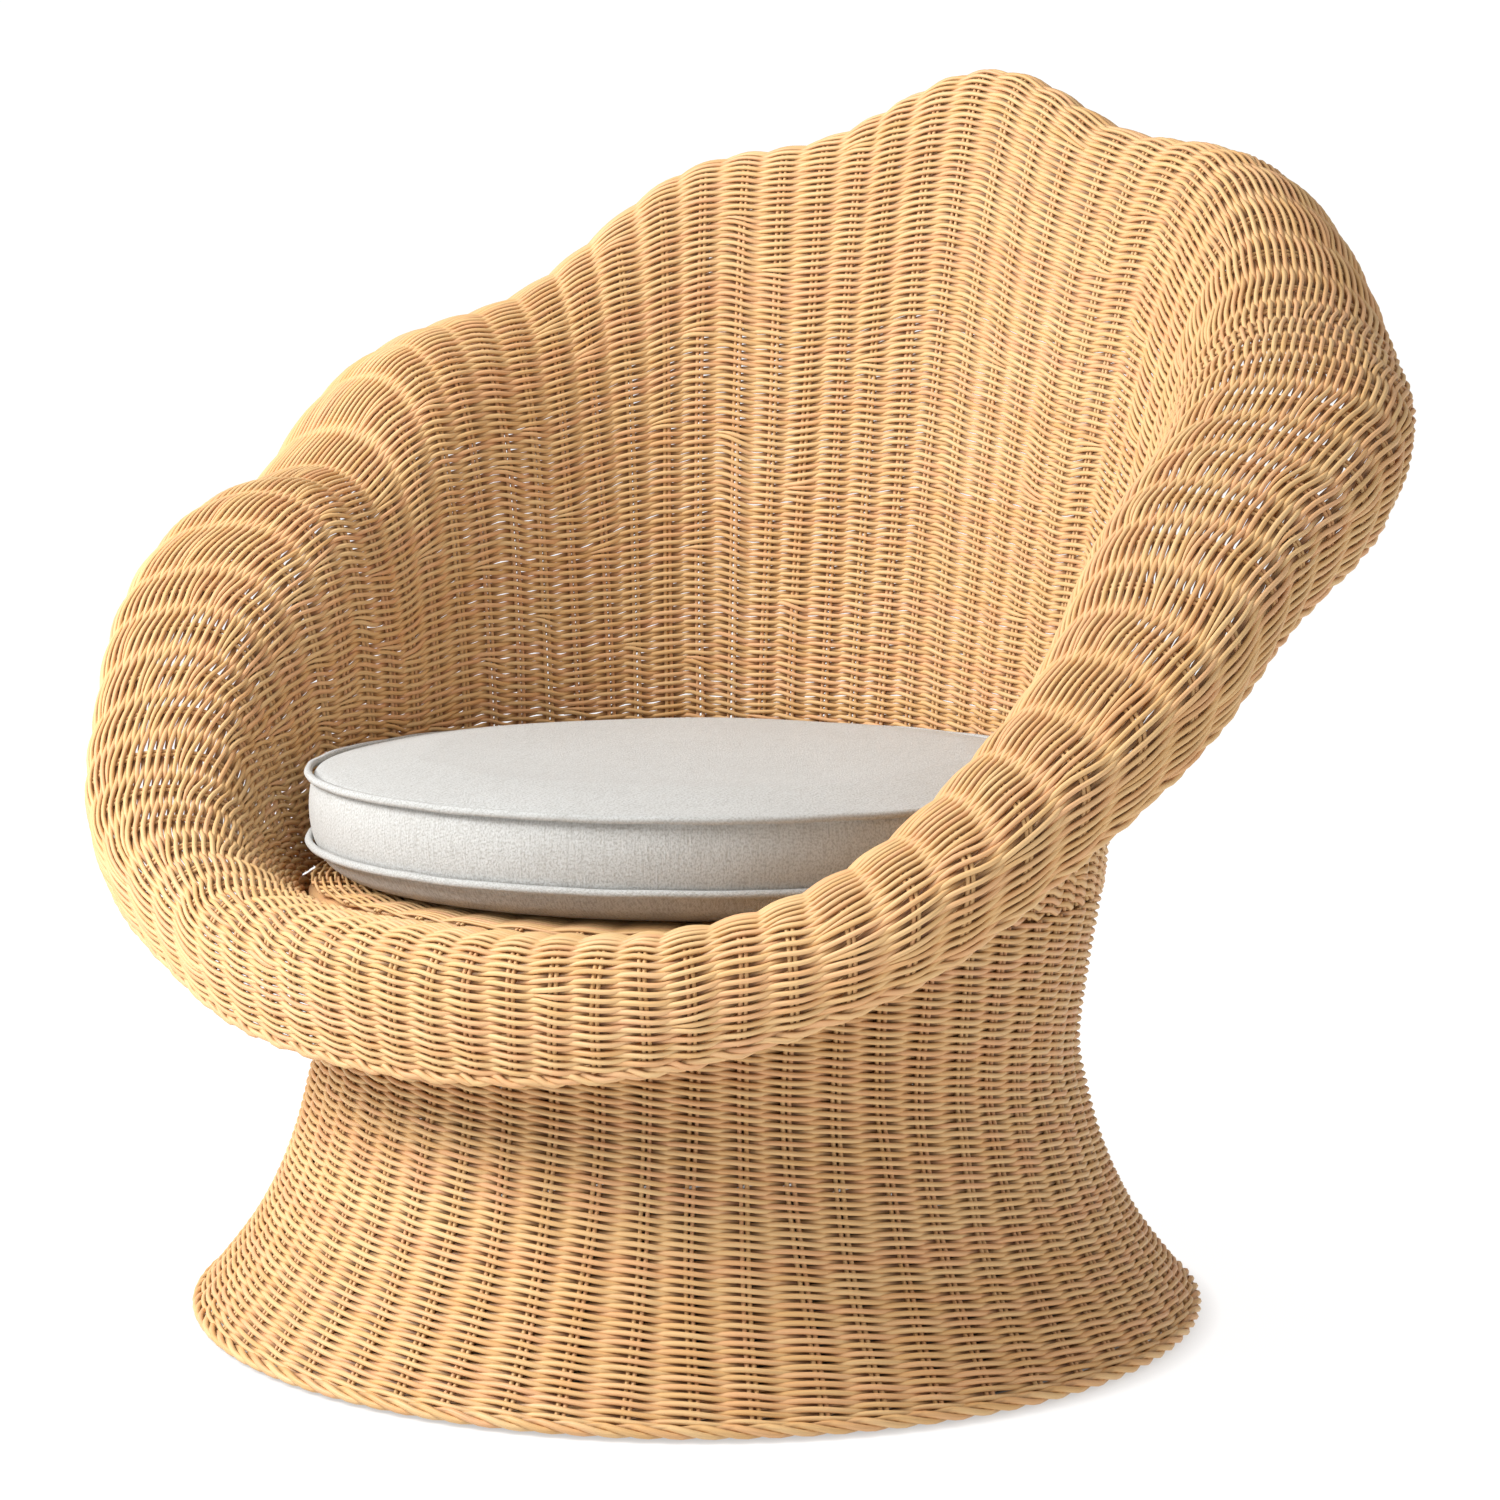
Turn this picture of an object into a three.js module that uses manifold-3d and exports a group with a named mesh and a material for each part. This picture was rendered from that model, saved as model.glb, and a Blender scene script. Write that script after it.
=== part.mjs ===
// A free-standing wicker lounge chair: a woven hourglass base, a woven seat bowl with a high
// back and a scalloped rolled rim, and a loose round cushion with piped seams.
// Millimetres, +Z up, the back of the chair towards +Y, the floor at z = 0.
import * as THREE from 'three';
import { ParametricGeometry } from 'three/addons/geometries/ParametricGeometry.js';
import { mergeVertices } from 'three/addons/utils/BufferGeometryUtils.js';
import Module from 'manifold-3d';

// ---------------------------------------------------------------- driving dimensions

const GAP = 0.4; // between two pieces that touch
const TURN = 2 * Math.PI;
const SIDES = 36; // facets of every ring and disc round the chair's axis
const SHELL_SIDES = 60; // six facets to each scallop of the rim

const WEAVE = 10; // thickness of the woven wall
const BORDER = 12; // thickness of a twisted border
const HEM_BOTTOM = 2;
const GLIDE_HEIGHT = 6;
const GLIDE_RADIUS = 13;

// The base is a figure of revolution. Its wall's radius at each height, both in millimetres.
const SKIRT_HEIGHTS = [14, 66, 126, 188, 228, 298, 345];
const SKIRT_RADII = [401, 361, 331, 313, 308, 317, 325];
const SEAM_HEIGHT = 346; // where the base's weave ends and the shell's weave starts
const SEAM_RADIUS = 325;
const SEAM_ROOM = 1.4; // from the seam to the edge of each weave

// The shell's section, at stations set evenly from the back round to the front.
const SCALLOPS = 10;
const CREST_RADIUS = [464, 484, 452, 437, 398, 368];
const CREST_HEIGHT = [1001, 935, 804, 671, 469, 365, 356];
const ROLL_WIDTH = [57, 81, 102, 82, 39, 32]; // from the crest out to the widest place
const ROLL_DROP = [87, 69, 46, 33, 32]; // from the crest down to the widest place
const LIP_INSET = [18, 15, 12, 12]; // from the widest place back in to the lip
const LIP_DROP = [80, 60, 50, 48, 66]; // from the widest place down to the lip
const SCALLOP_OUT = [8, 6, 5, 8, 0, 0, 0]; // how far the scallops move the crest outwards
const SCALLOP_UP = [15, 16, 10, 0, 0, 0, 0]; // how far they lift it
const SCALLOP_SWELL = [4, 1, 0, 1, -6, -2, 0]; // how far they widen the roll
const WALL_LEAN = [0.18, 0.2, 0.23, 0.4, 0]; // how early the wall leans out: 0 late, 1 early
const CREST_ROUNDING = [0.82, 1.18, 0.6]; // length of the crest's inner curve, in roll widths
const ARM_DIP = 40; // the left arm sinks between two of its scallops
const ARM_DIP_ANGLE = -82; // degrees from the middle of the back
const ARM_DIP_SPREAD = 8;

const FRAME_POLE = 24; // diameter of the floor ring and the seat ring
const POST_POLE = 20;
const WAIST_POLE = 16;
const STAY_POLE = 14;
const RIM_POLE = 16;
const LIP_POLE = 10;
const POSTS = 6;
const WAIST_HEIGHT = 205;
const SEAT_RING_HEIGHT = 337;
const SEAT_RING_RADIUS = 305;
const RAILS = 4;
const RAIL_SPACING = 130;
const STAY_ANGLES = [-38, -19, 0, 19, 38]; // degrees from the middle of the back
const COLLAR_REACH = 46; // degrees that the collar under the stays runs to each side
const BINDING_LENGTH = 24;
const BINDING_THICKNESS = 2.6;
const NAIL_RADIUS = 1.3;
const NAIL_LENGTH = 24;

const DECK_RADIUS = 316;
const DECK_THICKNESS = 7.4;

const CUSHION_RADIUS = 314.5; // to the middle of the piping
const CUSHION_SEAM_GAP = 55; // between the two piped seams
const CUSHION_FOOT = 27.5; // from the deck up to the lower seam
const CUSHION_CROWN = 12; // how far the top panel rises above its seam
const PIPING_RADIUS = 3.5;
const COVER_THICKNESS = 1.5;
const BOXING_BULGE = 3;
const ZIP_ARC = 110; // degrees
const ZIP_WIDTH = 18;

// Colours of the materials.
const RATTAN = { color: 0xd9b483, roughness: 0.55, metalness: 0 };
const CORE = { color: 0xc39a68, roughness: 0.65, metalness: 0 };
const NYLON = { color: 0x3a342e, roughness: 0.5, metalness: 0 };
const STEEL = { color: 0xb9b9b6, roughness: 0.35, metalness: 1 };
const CLOTH = { color: 0xe4e3df, roughness: 0.95, metalness: 0 };
const FOAM = { color: 0xf1e9c8, roughness: 1, metalness: 0 };

// ---------------------------------------------------------------- helpers

const wasm = await Module();
wasm.setup();
const chair = new THREE.Group();

function add(name, geometry, look) {
  const mesh = new THREE.Mesh(geometry, new THREE.MeshStandardMaterial(look));
  mesh.name = name;
  chair.add(mesh);
  return mesh;
}

function solid(geometry) {
  const bare = geometry.clone();
  bare.deleteAttribute('normal');
  bare.deleteAttribute('uv');
  const merged = mergeVertices(bare, 1e-3);
  return new wasm.Manifold(
    new wasm.Mesh({
      numProp: 3,
      vertProperties: merged.attributes.position.array,
      triVerts: new Uint32Array(merged.index.array),
    }),
  );
}

// The geometry with every tool cut away from it.
function carve(geometry, tools) {
  let body = solid(geometry);
  for (const tool of tools) body = body.subtract(solid(tool));
  const { vertProperties, triVerts } = body.getMesh();
  const carved = new THREE.BufferGeometry();
  carved.setAttribute('position', new THREE.BufferAttribute(new Float32Array(vertProperties), 3));
  carved.setIndex(Array.from(triVerts));
  carved.computeVertexNormals();
  return carved;
}

// A point at a radius and a height, at an angle from the middle of the back.
function place(angle, radius, height) {
  return new THREE.Vector3(radius * Math.sin(angle), radius * Math.cos(angle), height);
}

// A value that runs smoothly round the chair, the same on its left and right, through
// stations set evenly from the back (angle 0) to the front (half a turn).
function around(stations) {
  const last = stations.length - 1;
  const share = (i) => (i === 0 || i === last ? 0.5 : 1);
  const waves = stations.map((_, k) => {
    const sum = stations.reduce(
      (total, value, i) => total + share(i) * value * Math.cos((Math.PI * i * k) / last),
      0,
    );
    return (2 / last) * share(k) * sum;
  });
  return (angle) => waves.reduce((total, wave, k) => total + wave * Math.cos(k * angle), 0);
}

// A closed skin whose section at each angle is a closed loop of (radius, height) points.
function skin(sectionAt, sides) {
  const loops = [];
  for (let side = 0; side < sides; side++) loops.push(sectionAt((TURN * side) / sides));
  const corners = loops[0].length;
  return new ParametricGeometry(
    (u, v, target) => {
      const side = Math.round(u * sides) % sides;
      const corner = loops[side][(corners - Math.round(v * corners)) % corners];
      target.copy(place((TURN * side) / sides, corner.x, corner.y));
    },
    sides,
    corners,
  );
}

// A figure of revolution round the chair's axis, from (radius, height) points.
function turned(points) {
  return new THREE.LatheGeometry(points, SIDES).rotateX(Math.PI / 2);
}

function circle(centre, radius, sides) {
  const points = [];
  for (let i = 0; i < sides; i++) {
    const a = (TURN * i) / sides;
    points.push(new THREE.Vector2(centre.x + radius * Math.cos(a), centre.y + radius * Math.sin(a)));
  }
  return points;
}

function closed(points) {
  return [...points, points[0]];
}

// A round bar bent into a flat ring.
function ring(radius, height, thickness, sides = 8) {
  return turned(closed(circle(new THREE.Vector2(radius, height), thickness / 2, sides)));
}

// The points of an open line moved sideways, to its right for a positive distance.
function beside(points, distance) {
  return points.map((point, i) => {
    const before = points[Math.max(i - 1, 0)];
    const after = points[Math.min(i + 1, points.length - 1)];
    const along = new THREE.Vector2().subVectors(after, before).normalize();
    return new THREE.Vector2(point.x + along.y * distance, point.y - along.x * distance);
  });
}

// The closed outline of a wall of even thickness along a line.
function thicken(points, thickness) {
  return [...beside(points, thickness / 2), ...beside(points, -thickness / 2).reverse()];
}

// The outline with its lowest or highest end cut off level, at the seam.
function levelled(outline, first, height) {
  const last = outline.length - 1 - first;
  outline[first].y = height;
  outline[last].y = height;
  return outline;
}

// A round pole along a path through points.
function pole(points, diameter, steps, sides = 10) {
  const shape = new THREE.Shape();
  shape.absarc(0, 0, diameter / 2, 0, TURN);
  const extrudePath = new THREE.CatmullRomCurve3(points, false, 'centripetal');
  return new THREE.ExtrudeGeometry(shape, { steps, extrudePath, curveSegments: sides / 2 });
}

// A straight round bar from a point along a direction.
function bar(start, direction, radius, length, sides = 8) {
  const geometry = new THREE.CylinderGeometry(radius, radius, length, sides);
  geometry.translate(0, length / 2, 0);
  const turn = new THREE.Quaternion().setFromUnitVectors(new THREE.Vector3(0, 1, 0), direction);
  return geometry.applyQuaternion(turn).translate(start.x, start.y, start.z);
}

// A block bent round the chair's axis, between two angles.
function bentBlock(radius, thickness, height, from, to, steps) {
  const outline = [];
  for (let i = 0; i <= steps; i++) outline.push([radius + thickness, from + ((to - from) * i) / steps]);
  for (let i = steps; i >= 0; i--) outline.push([radius, from + ((to - from) * i) / steps]);
  const shape = new THREE.Shape(
    outline.map(([r, angle]) => new THREE.Vector2(r * Math.sin(angle), r * Math.cos(angle))),
  );
  return new THREE.ExtrudeGeometry(shape, { depth: height, bevelEnabled: false, steps: 1 });
}

// The point a distance away from one point, towards another.
function towards(from, to, distance) {
  return from.clone().add(to.clone().sub(from).setLength(distance));
}

// ---------------------------------------------------------------- woven base

const COLLAR_BRAID = 10;
const COLLAR_RADIUS = SEAM_RADIUS + WEAVE / 2 + COLLAR_BRAID / 2 + 2;
const COLLAR_HEIGHT = SEAM_HEIGHT - 8;

const skirtCurve = new THREE.SplineCurve(
  SKIRT_HEIGHTS.map((height, i) => new THREE.Vector2(SKIRT_RADII[i], height)),
);

function skirtRadius(height) {
  const points = skirtCurve.getPoints(200);
  const above = Math.max(1, points.findIndex((point) => point.y >= height));
  const [a, b] = [points[above - 1], points[above]];
  return a.x + ((b.x - a.x) * (height - a.y)) / (b.y - a.y);
}

function makeBaseWeave() {
  const wall = skirtCurve.getPoints(7);
  const outline = levelled(thicken(wall, WEAVE), wall.length - 1, SEAM_HEIGHT - SEAM_ROOM);
  add('base_skirt', turned(closed(outline)), RATTAN);
  const hemHeight = HEM_BOTTOM + BORDER / 2;
  add('base_hem', ring(SKIRT_RADII[0] + BORDER / 2 + 2, hemHeight, BORDER), RATTAN);
  const reach = THREE.MathUtils.degToRad(COLLAR_REACH);
  const collar = bentBlock(COLLAR_RADIUS - COLLAR_BRAID / 2, COLLAR_BRAID, COLLAR_BRAID, -reach, reach, 12);
  add('collar_braid', collar.translate(0, 0, COLLAR_HEIGHT - COLLAR_BRAID / 2), RATTAN);
}

// ---------------------------------------------------------------- shell

const crestRadius = around(CREST_RADIUS);
const crestHeight = around(CREST_HEIGHT);
const rollWidth = around(ROLL_WIDTH);
const rollDrop = around(ROLL_DROP);
const lipInset = around(LIP_INSET);
const lipDrop = around(LIP_DROP);
const scallopOut = around(SCALLOP_OUT);
const scallopUp = around(SCALLOP_UP);
const scallopSwell = around(SCALLOP_SWELL);
const wallLean = around(WALL_LEAN);
const crestRounding = around(CREST_ROUNDING);

function armDip(angle) {
  const degrees = THREE.MathUtils.radToDeg(Math.atan2(Math.sin(angle), Math.cos(angle)));
  return ARM_DIP * Math.exp(-(((degrees - ARM_DIP_ANGLE) / ARM_DIP_SPREAD) ** 2));
}

// The three curves of the shell's middle line at an angle: the wall up to the crest, the
// roll out to its widest place, and the roll's underside in to the lip.
function shellCurves(angle) {
  const scallop = Math.cos(SCALLOPS * angle);
  const crest = new THREE.Vector2(
    crestRadius(angle) + scallopOut(angle) * scallop,
    crestHeight(angle) + scallopUp(angle) * scallop - armDip(angle),
  );
  const width = rollWidth(angle) + scallopSwell(angle) * scallop;
  const widest = new THREE.Vector2(crest.x + width, crest.y - rollDrop(angle));
  const lip = new THREE.Vector2(widest.x - lipInset(angle), widest.y - lipDrop(angle));
  const seam = new THREE.Vector2(SEAM_RADIUS, SEAM_HEIGHT + SEAM_ROOM);
  const at = (x, y) => new THREE.Vector2(x, y);
  const round = 0.55; // of the way to the corner makes a cubic curve a quarter of an ellipse
  const leanRadius = seam.x + wallLean(angle) * (crest.x - seam.x);
  const leanHeight = seam.y + 0.45 * (crest.y - seam.y);
  const wall = new THREE.CubicBezierCurve(
    seam,
    at(leanRadius, leanHeight),
    at(crest.x - crestRounding(angle) * width, crest.y),
    crest,
  );
  const over = new THREE.CubicBezierCurve(
    crest,
    at(crest.x + round * width, crest.y),
    at(widest.x, widest.y + round * (crest.y - widest.y)),
    widest,
  );
  const under = new THREE.CubicBezierCurve(
    widest,
    at(widest.x, widest.y - 0.5 * (widest.y - lip.y)),
    at(lip.x + 0.35 * (widest.x - lip.x), lip.y + 0.25 * (widest.y - lip.y)),
    lip,
  );
  return { wall, over, under };
}

// The point a distance inside the roll, at a share of one of its curves.
function insideRoll(curve, share, depth) {
  const along = curve.getTangent(share);
  const on = curve.getPoint(share);
  return new THREE.Vector2(on.x + along.y * depth, on.y - along.x * depth);
}

function shellSection(angle) {
  const { wall, over, under } = shellCurves(angle);
  const line = [...wall.getPoints(6), ...over.getPoints(3).slice(1), ...under.getPoints(2).slice(1)];
  return levelled(thicken(line, WEAVE), 0, SEAM_HEIGHT + SEAM_ROOM);
}

function makeShell() {
  add('shell', skin(shellSection, SHELL_SIDES), RATTAN);
  const border = (angle) => {
    const end = shellCurves(angle).under;
    const centre = end.getPoint(1).addScaledVector(end.getTangent(1), BORDER / 2 + GAP);
    return circle(centre, BORDER / 2, 5);
  };
  add('lip_border', skin(border, SHELL_SIDES), RATTAN);
}

// ---------------------------------------------------------------- hoops and stays

const HOOP_ROOM = 4.5; // between the weave and what lies inside or behind it
const STAY_LIFT = 2.2; // from the collar up to the middle of a stay's slanting foot
const RIM_DEPTH = WEAVE / 2 + RIM_POLE / 2 + HOOP_ROOM;
const LIP_DEPTH = WEAVE / 2 + LIP_POLE / 2 + HOOP_ROOM;

function rimHoopCentre(angle) {
  return insideRoll(shellCurves(angle).over, 0.5, RIM_DEPTH);
}

function makeHoops() {
  const rim = (angle) => circle(rimHoopCentre(angle), RIM_POLE / 2, 5);
  add('rim_hoop', skin(rim, SHELL_SIDES), CORE);
  const lip = (angle) => circle(insideRoll(shellCurves(angle).under, 0.85, LIP_DEPTH), LIP_POLE / 2, 5);
  add('lip_hoop', skin(lip, SHELL_SIDES), CORE);
}

// A stay stands on the collar, follows the back of the wall and ends under the rim hoop.
function stayPath(angle) {
  const { wall } = shellCurves(angle);
  const depth = WEAVE / 2 + STAY_POLE / 2 + 1.7 * HOOP_ROOM;
  const shares = [0.2, 0.4, 0.6, 0.78];
  const foot = new THREE.Vector2(COLLAR_RADIUS + 1, COLLAR_HEIGHT + COLLAR_BRAID / 2 + STAY_LIFT);
  const line = [foot, ...shares.map((share) => insideRoll(wall, share, depth))];
  const hoop = rimHoopCentre(angle);
  const last = line[line.length - 1];
  const stop = RIM_POLE / 2 + STAY_POLE / 2;
  line.push(hoop.clone().add(last.clone().sub(hoop).setLength(stop)));
  return line.map((point) => place(angle, point.x, point.y));
}

function makeStays() {
  STAY_ANGLES.forEach((degrees, i) => {
    const path = stayPath(THREE.MathUtils.degToRad(degrees));
    add(`back_stay_${i + 1}`, pole(path, STAY_POLE, 10, 8), CORE);
  });
}

// ---------------------------------------------------------------- frame of the base

const FLOOR_RING_HEIGHT = GLIDE_HEIGHT + GAP + FRAME_POLE / 2;
const FLOOR_RING_RADIUS = 372;
const POST_DEPTH = WEAVE / 2 + BINDING_THICKNESS + POST_POLE / 2 + 4; // inside the skirt's middle
const waistPostRadius = skirtRadius(WAIST_HEIGHT) - POST_DEPTH;
const WAIST_RING_RADIUS = waistPostRadius - POST_POLE / 2 - WAIST_POLE / 2 - GAP;
const postAngles = Array.from({ length: POSTS }, (_, i) => (TURN * (i + 0.5)) / POSTS);

function widerRing(radius, height) {
  return ring(radius, height, FRAME_POLE + 2 * GAP);
}

function postPath(angle) {
  const foot = place(angle, FLOOR_RING_RADIUS, FLOOR_RING_HEIGHT);
  const head = place(angle, SEAT_RING_RADIUS, SEAT_RING_HEIGHT);
  const bends = [65, 120, 180, 220, 285].map((height) =>
    place(angle, skirtRadius(height) - POST_DEPTH, height),
  );
  const sunk = 4; // the ends run this close to the middle of the rings that cut them
  const first = towards(foot, bends[0], sunk);
  const last = towards(head, bends[bends.length - 1], sunk);
  return [first, ...bends, last];
}

// A nail, or with room round it the hole that it is driven into.
function nail(start, direction, room) {
  const from = start.clone().addScaledVector(direction, -room);
  return bar(from, direction, NAIL_RADIUS + room, NAIL_LENGTH + 2 * room);
}

function glideNail(angle, room = 0) {
  return nail(place(angle, FLOOR_RING_RADIUS, GLIDE_HEIGHT / 2), new THREE.Vector3(0, 0, 1), room);
}

function waistNail(angle, room = 0) {
  const head = WAIST_RING_RADIUS - WAIST_POLE / 2 - 0.6;
  return nail(place(angle, head, WAIST_HEIGHT), place(angle, 1, 0), room);
}

function makeRings() {
  const glideHoles = postAngles.map((angle) => glideNail(angle, GAP));
  const waistHoles = postAngles.map((angle) => waistNail(angle, GAP));
  add('floor_ring', carve(ring(FLOOR_RING_RADIUS, FLOOR_RING_HEIGHT, FRAME_POLE), glideHoles), CORE);
  add('waist_ring', carve(ring(WAIST_RING_RADIUS, WAIST_HEIGHT, WAIST_POLE), waistHoles), CORE);
  add('seat_ring', ring(SEAT_RING_RADIUS, SEAT_RING_HEIGHT, FRAME_POLE), CORE);
}

function makeBinding(path) {
  const [below, head] = [path[path.length - 2], path[path.length - 1]];
  const inner = POST_POLE / 2 + 3 * GAP;
  const outer = inner + BINDING_THICKNESS;
  const outline = [
    new THREE.Vector2(inner, 0),
    new THREE.Vector2(outer, 0),
    new THREE.Vector2(outer, BINDING_LENGTH),
    new THREE.Vector2(inner, BINDING_LENGTH),
  ];
  const geometry = new THREE.LatheGeometry(closed(outline), 8);
  const down = below.clone().sub(head).normalize();
  const turn = new THREE.Quaternion().setFromUnitVectors(new THREE.Vector3(0, 1, 0), down);
  const start = towards(head, below, FRAME_POLE / 2 + 3);
  return geometry.applyQuaternion(turn).translate(start.x, start.y, start.z);
}

function makePosts() {
  const rings = [
    widerRing(FLOOR_RING_RADIUS, FLOOR_RING_HEIGHT),
    widerRing(SEAT_RING_RADIUS, SEAT_RING_HEIGHT),
  ];
  postAngles.forEach((angle, i) => {
    const path = postPath(angle);
    const cuts = [...rings, waistNail(angle, GAP)];
    add(`post_${i + 1}`, carve(pole(path, POST_POLE, 9, 8), cuts), CORE);
    add(`post_binding_${i + 1}`, makeBinding(path), RATTAN);
    add(`waist_nail_${i + 1}`, waistNail(angle), STEEL);
  });
}

function makeGlides() {
  postAngles.forEach((angle, i) => {
    const disc = new THREE.CylinderGeometry(GLIDE_RADIUS, GLIDE_RADIUS - 1, GLIDE_HEIGHT, 12);
    const centre = place(angle, FLOOR_RING_RADIUS, GLIDE_HEIGHT / 2);
    disc.rotateX(Math.PI / 2).translate(centre.x, centre.y, centre.z);
    add(`glide_${i + 1}`, carve(disc, [glideNail(angle, GAP)]), NYLON);
    add(`glide_nail_${i + 1}`, glideNail(angle), STEEL);
  });
}

function makeSeat() {
  const cut = [widerRing(SEAT_RING_RADIUS, SEAT_RING_HEIGHT)];
  for (let i = 0; i < RAILS; i++) {
    const y = (i - (RAILS - 1) / 2) * RAIL_SPACING;
    const reach = Math.sqrt((SEAT_RING_RADIUS - 2) ** 2 - y * y);
    const start = new THREE.Vector3(-reach, y, SEAT_RING_HEIGHT + 1);
    const rail = bar(start, new THREE.Vector3(1, 0, 0), POST_POLE / 2, 2 * reach, 12);
    add(`seat_rail_${i + 1}`, carve(rail, cut), CORE);
  }
  const bottom = SEAT_RING_HEIGHT + FRAME_POLE / 2 + GAP;
  const disc = [
    new THREE.Vector2(0, bottom),
    new THREE.Vector2(DECK_RADIUS, bottom),
    new THREE.Vector2(DECK_RADIUS, bottom + DECK_THICKNESS),
    new THREE.Vector2(0, bottom + DECK_THICKNESS),
  ];
  add('seat_deck', turned(disc), RATTAN);
}

// ---------------------------------------------------------------- cushion

const deckTop = SEAT_RING_HEIGHT + FRAME_POLE / 2 + GAP + DECK_THICKNESS;
const lowSeam = deckTop + CUSHION_FOOT;
const highSeam = lowSeam + CUSHION_SEAM_GAP;
const panelRadius = CUSHION_RADIUS - PIPING_RADIUS - GAP;

// A panel's outer line, from the axis out to its seam.
function topPanel(inset) {
  return [
    new THREE.Vector2(0, highSeam + CUSHION_CROWN - inset),
    new THREE.Vector2(0.6 * panelRadius, highSeam + 0.7 * CUSHION_CROWN - inset),
    new THREE.Vector2(0.86 * panelRadius, highSeam + 0.35 * CUSHION_CROWN - inset),
    new THREE.Vector2(panelRadius - inset, highSeam - inset),
  ];
}

function bottomPanel(inset) {
  return [
    new THREE.Vector2(0, deckTop + GAP + inset),
    new THREE.Vector2(0.9 * panelRadius - inset, deckTop + GAP + inset),
    new THREE.Vector2(0.965 * panelRadius - inset, deckTop + 0.35 * CUSHION_FOOT + inset),
    new THREE.Vector2(panelRadius - inset, lowSeam + inset),
  ];
}

function boxingLine(radius, inset) {
  const middle = (lowSeam + highSeam) / 2;
  const reach = CUSHION_SEAM_GAP / 2 - PIPING_RADIUS - GAP - inset;
  return [
    new THREE.Vector2(radius, middle - reach),
    new THREE.Vector2(radius + BOXING_BULGE, middle - 0.4 * reach),
    new THREE.Vector2(radius + BOXING_BULGE, middle + 0.4 * reach),
    new THREE.Vector2(radius, middle + reach),
  ];
}

function makeCushion() {
  const boxingRadius = CUSHION_RADIUS - PIPING_RADIUS + 1.5;
  const inner = boxingRadius - COVER_THICKNESS;
  const foamInset = COVER_THICKNESS + GAP;
  const foam = [
    ...bottomPanel(foamInset),
    ...boxingLine(inner - 1.5, 0),
    ...topPanel(foamInset).reverse(),
  ];
  add('cushion_foam', turned(foam), FOAM);
  add('cushion_cover_bottom', turned([...bottomPanel(0), ...bottomPanel(COVER_THICKNESS).reverse()]), CLOTH);
  add('cushion_cover_top', turned([...topPanel(COVER_THICKNESS), ...topPanel(0).reverse()]), CLOTH);
  const boxing = [...boxingLine(boxingRadius, 0), ...boxingLine(inner, 0).reverse()];
  add('cushion_boxing', turned(closed(boxing)), CLOTH);
  add('cushion_piping_top', ring(CUSHION_RADIUS, highSeam, 2 * PIPING_RADIUS, 6), CLOTH);
  add('cushion_piping_bottom', ring(CUSHION_RADIUS, lowSeam, 2 * PIPING_RADIUS, 6), CLOTH);
}

function makeZip() {
  const middle = (lowSeam + highSeam) / 2;
  const radius = CUSHION_RADIUS - PIPING_RADIUS + 1.5 + BOXING_BULGE + GAP;
  const half = THREE.MathUtils.degToRad(ZIP_ARC / 2);
  const tape = bentBlock(radius, 1, ZIP_WIDTH, -half, half, 22);
  add('zip_tape', tape.translate(0, 0, middle - ZIP_WIDTH / 2), CLOTH);
  const start = half - 0.05;
  const slider = bentBlock(radius + 1 + 2 * GAP, 3, 12, start - 0.026, start, 2);
  add('zip_slider', slider.translate(0, 0, middle - 6), STEEL);
}

// ---------------------------------------------------------------- assembly

makeBaseWeave();
makeShell();
makeHoops();
makeStays();
makeRings();
makePosts();
makeGlides();
makeSeat();
makeCushion();
makeZip();

// The frame's origin lies under the middle of the whole chair.
const box = new THREE.Box3().setFromObject(chair);
chair.position.set(-(box.min.x + box.max.x) / 2, -(box.min.y + box.max.y) / 2, -box.min.z);
chair.updateMatrixWorld(true);

export default chair;
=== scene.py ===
"""The looks of a free-standing wicker lounge chair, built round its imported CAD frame.

Every strand of the weave is modelled. The cushion's cover is a cloth simulation. Metres, +Z up,
the back of the chair towards +Y. Angles run from the middle of the back towards +X."""

import math
from typing import NamedTuple

import bpy
import numpy as np
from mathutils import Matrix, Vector


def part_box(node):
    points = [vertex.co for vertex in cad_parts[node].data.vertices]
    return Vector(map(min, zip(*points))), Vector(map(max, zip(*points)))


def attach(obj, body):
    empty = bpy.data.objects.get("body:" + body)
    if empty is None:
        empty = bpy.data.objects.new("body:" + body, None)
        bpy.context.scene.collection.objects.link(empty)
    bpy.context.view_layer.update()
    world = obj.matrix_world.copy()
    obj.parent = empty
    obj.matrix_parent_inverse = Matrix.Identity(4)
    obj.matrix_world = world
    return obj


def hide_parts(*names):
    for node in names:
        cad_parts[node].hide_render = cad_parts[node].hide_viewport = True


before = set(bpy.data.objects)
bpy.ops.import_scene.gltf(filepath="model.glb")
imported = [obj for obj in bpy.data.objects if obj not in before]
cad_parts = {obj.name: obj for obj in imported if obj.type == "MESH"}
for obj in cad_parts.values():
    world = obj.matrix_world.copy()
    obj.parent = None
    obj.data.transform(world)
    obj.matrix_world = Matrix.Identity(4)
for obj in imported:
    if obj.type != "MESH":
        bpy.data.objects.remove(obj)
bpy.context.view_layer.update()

MM = 0.001
TURN = 2 * math.pi


def middle(node):
    low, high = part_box(node)
    return (low + high) / 2


AXIS_Y = middle("base_skirt").y  # the chair's own axis, on which the base is turned

# ---------------------------------------------------------------- the woven surfaces

# The base wall's radius at each height.
SKIRT_HEIGHTS = MM * np.array([14, 66, 126, 188, 228, 298, 345])
SKIRT_RADII = MM * np.array([401, 361, 331, 313, 308, 317, 325])
SEAM_HEIGHT = 346 * MM
SEAM_RADIUS = 325 * MM
SEAM_ROOM = 1.4 * MM

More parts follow.
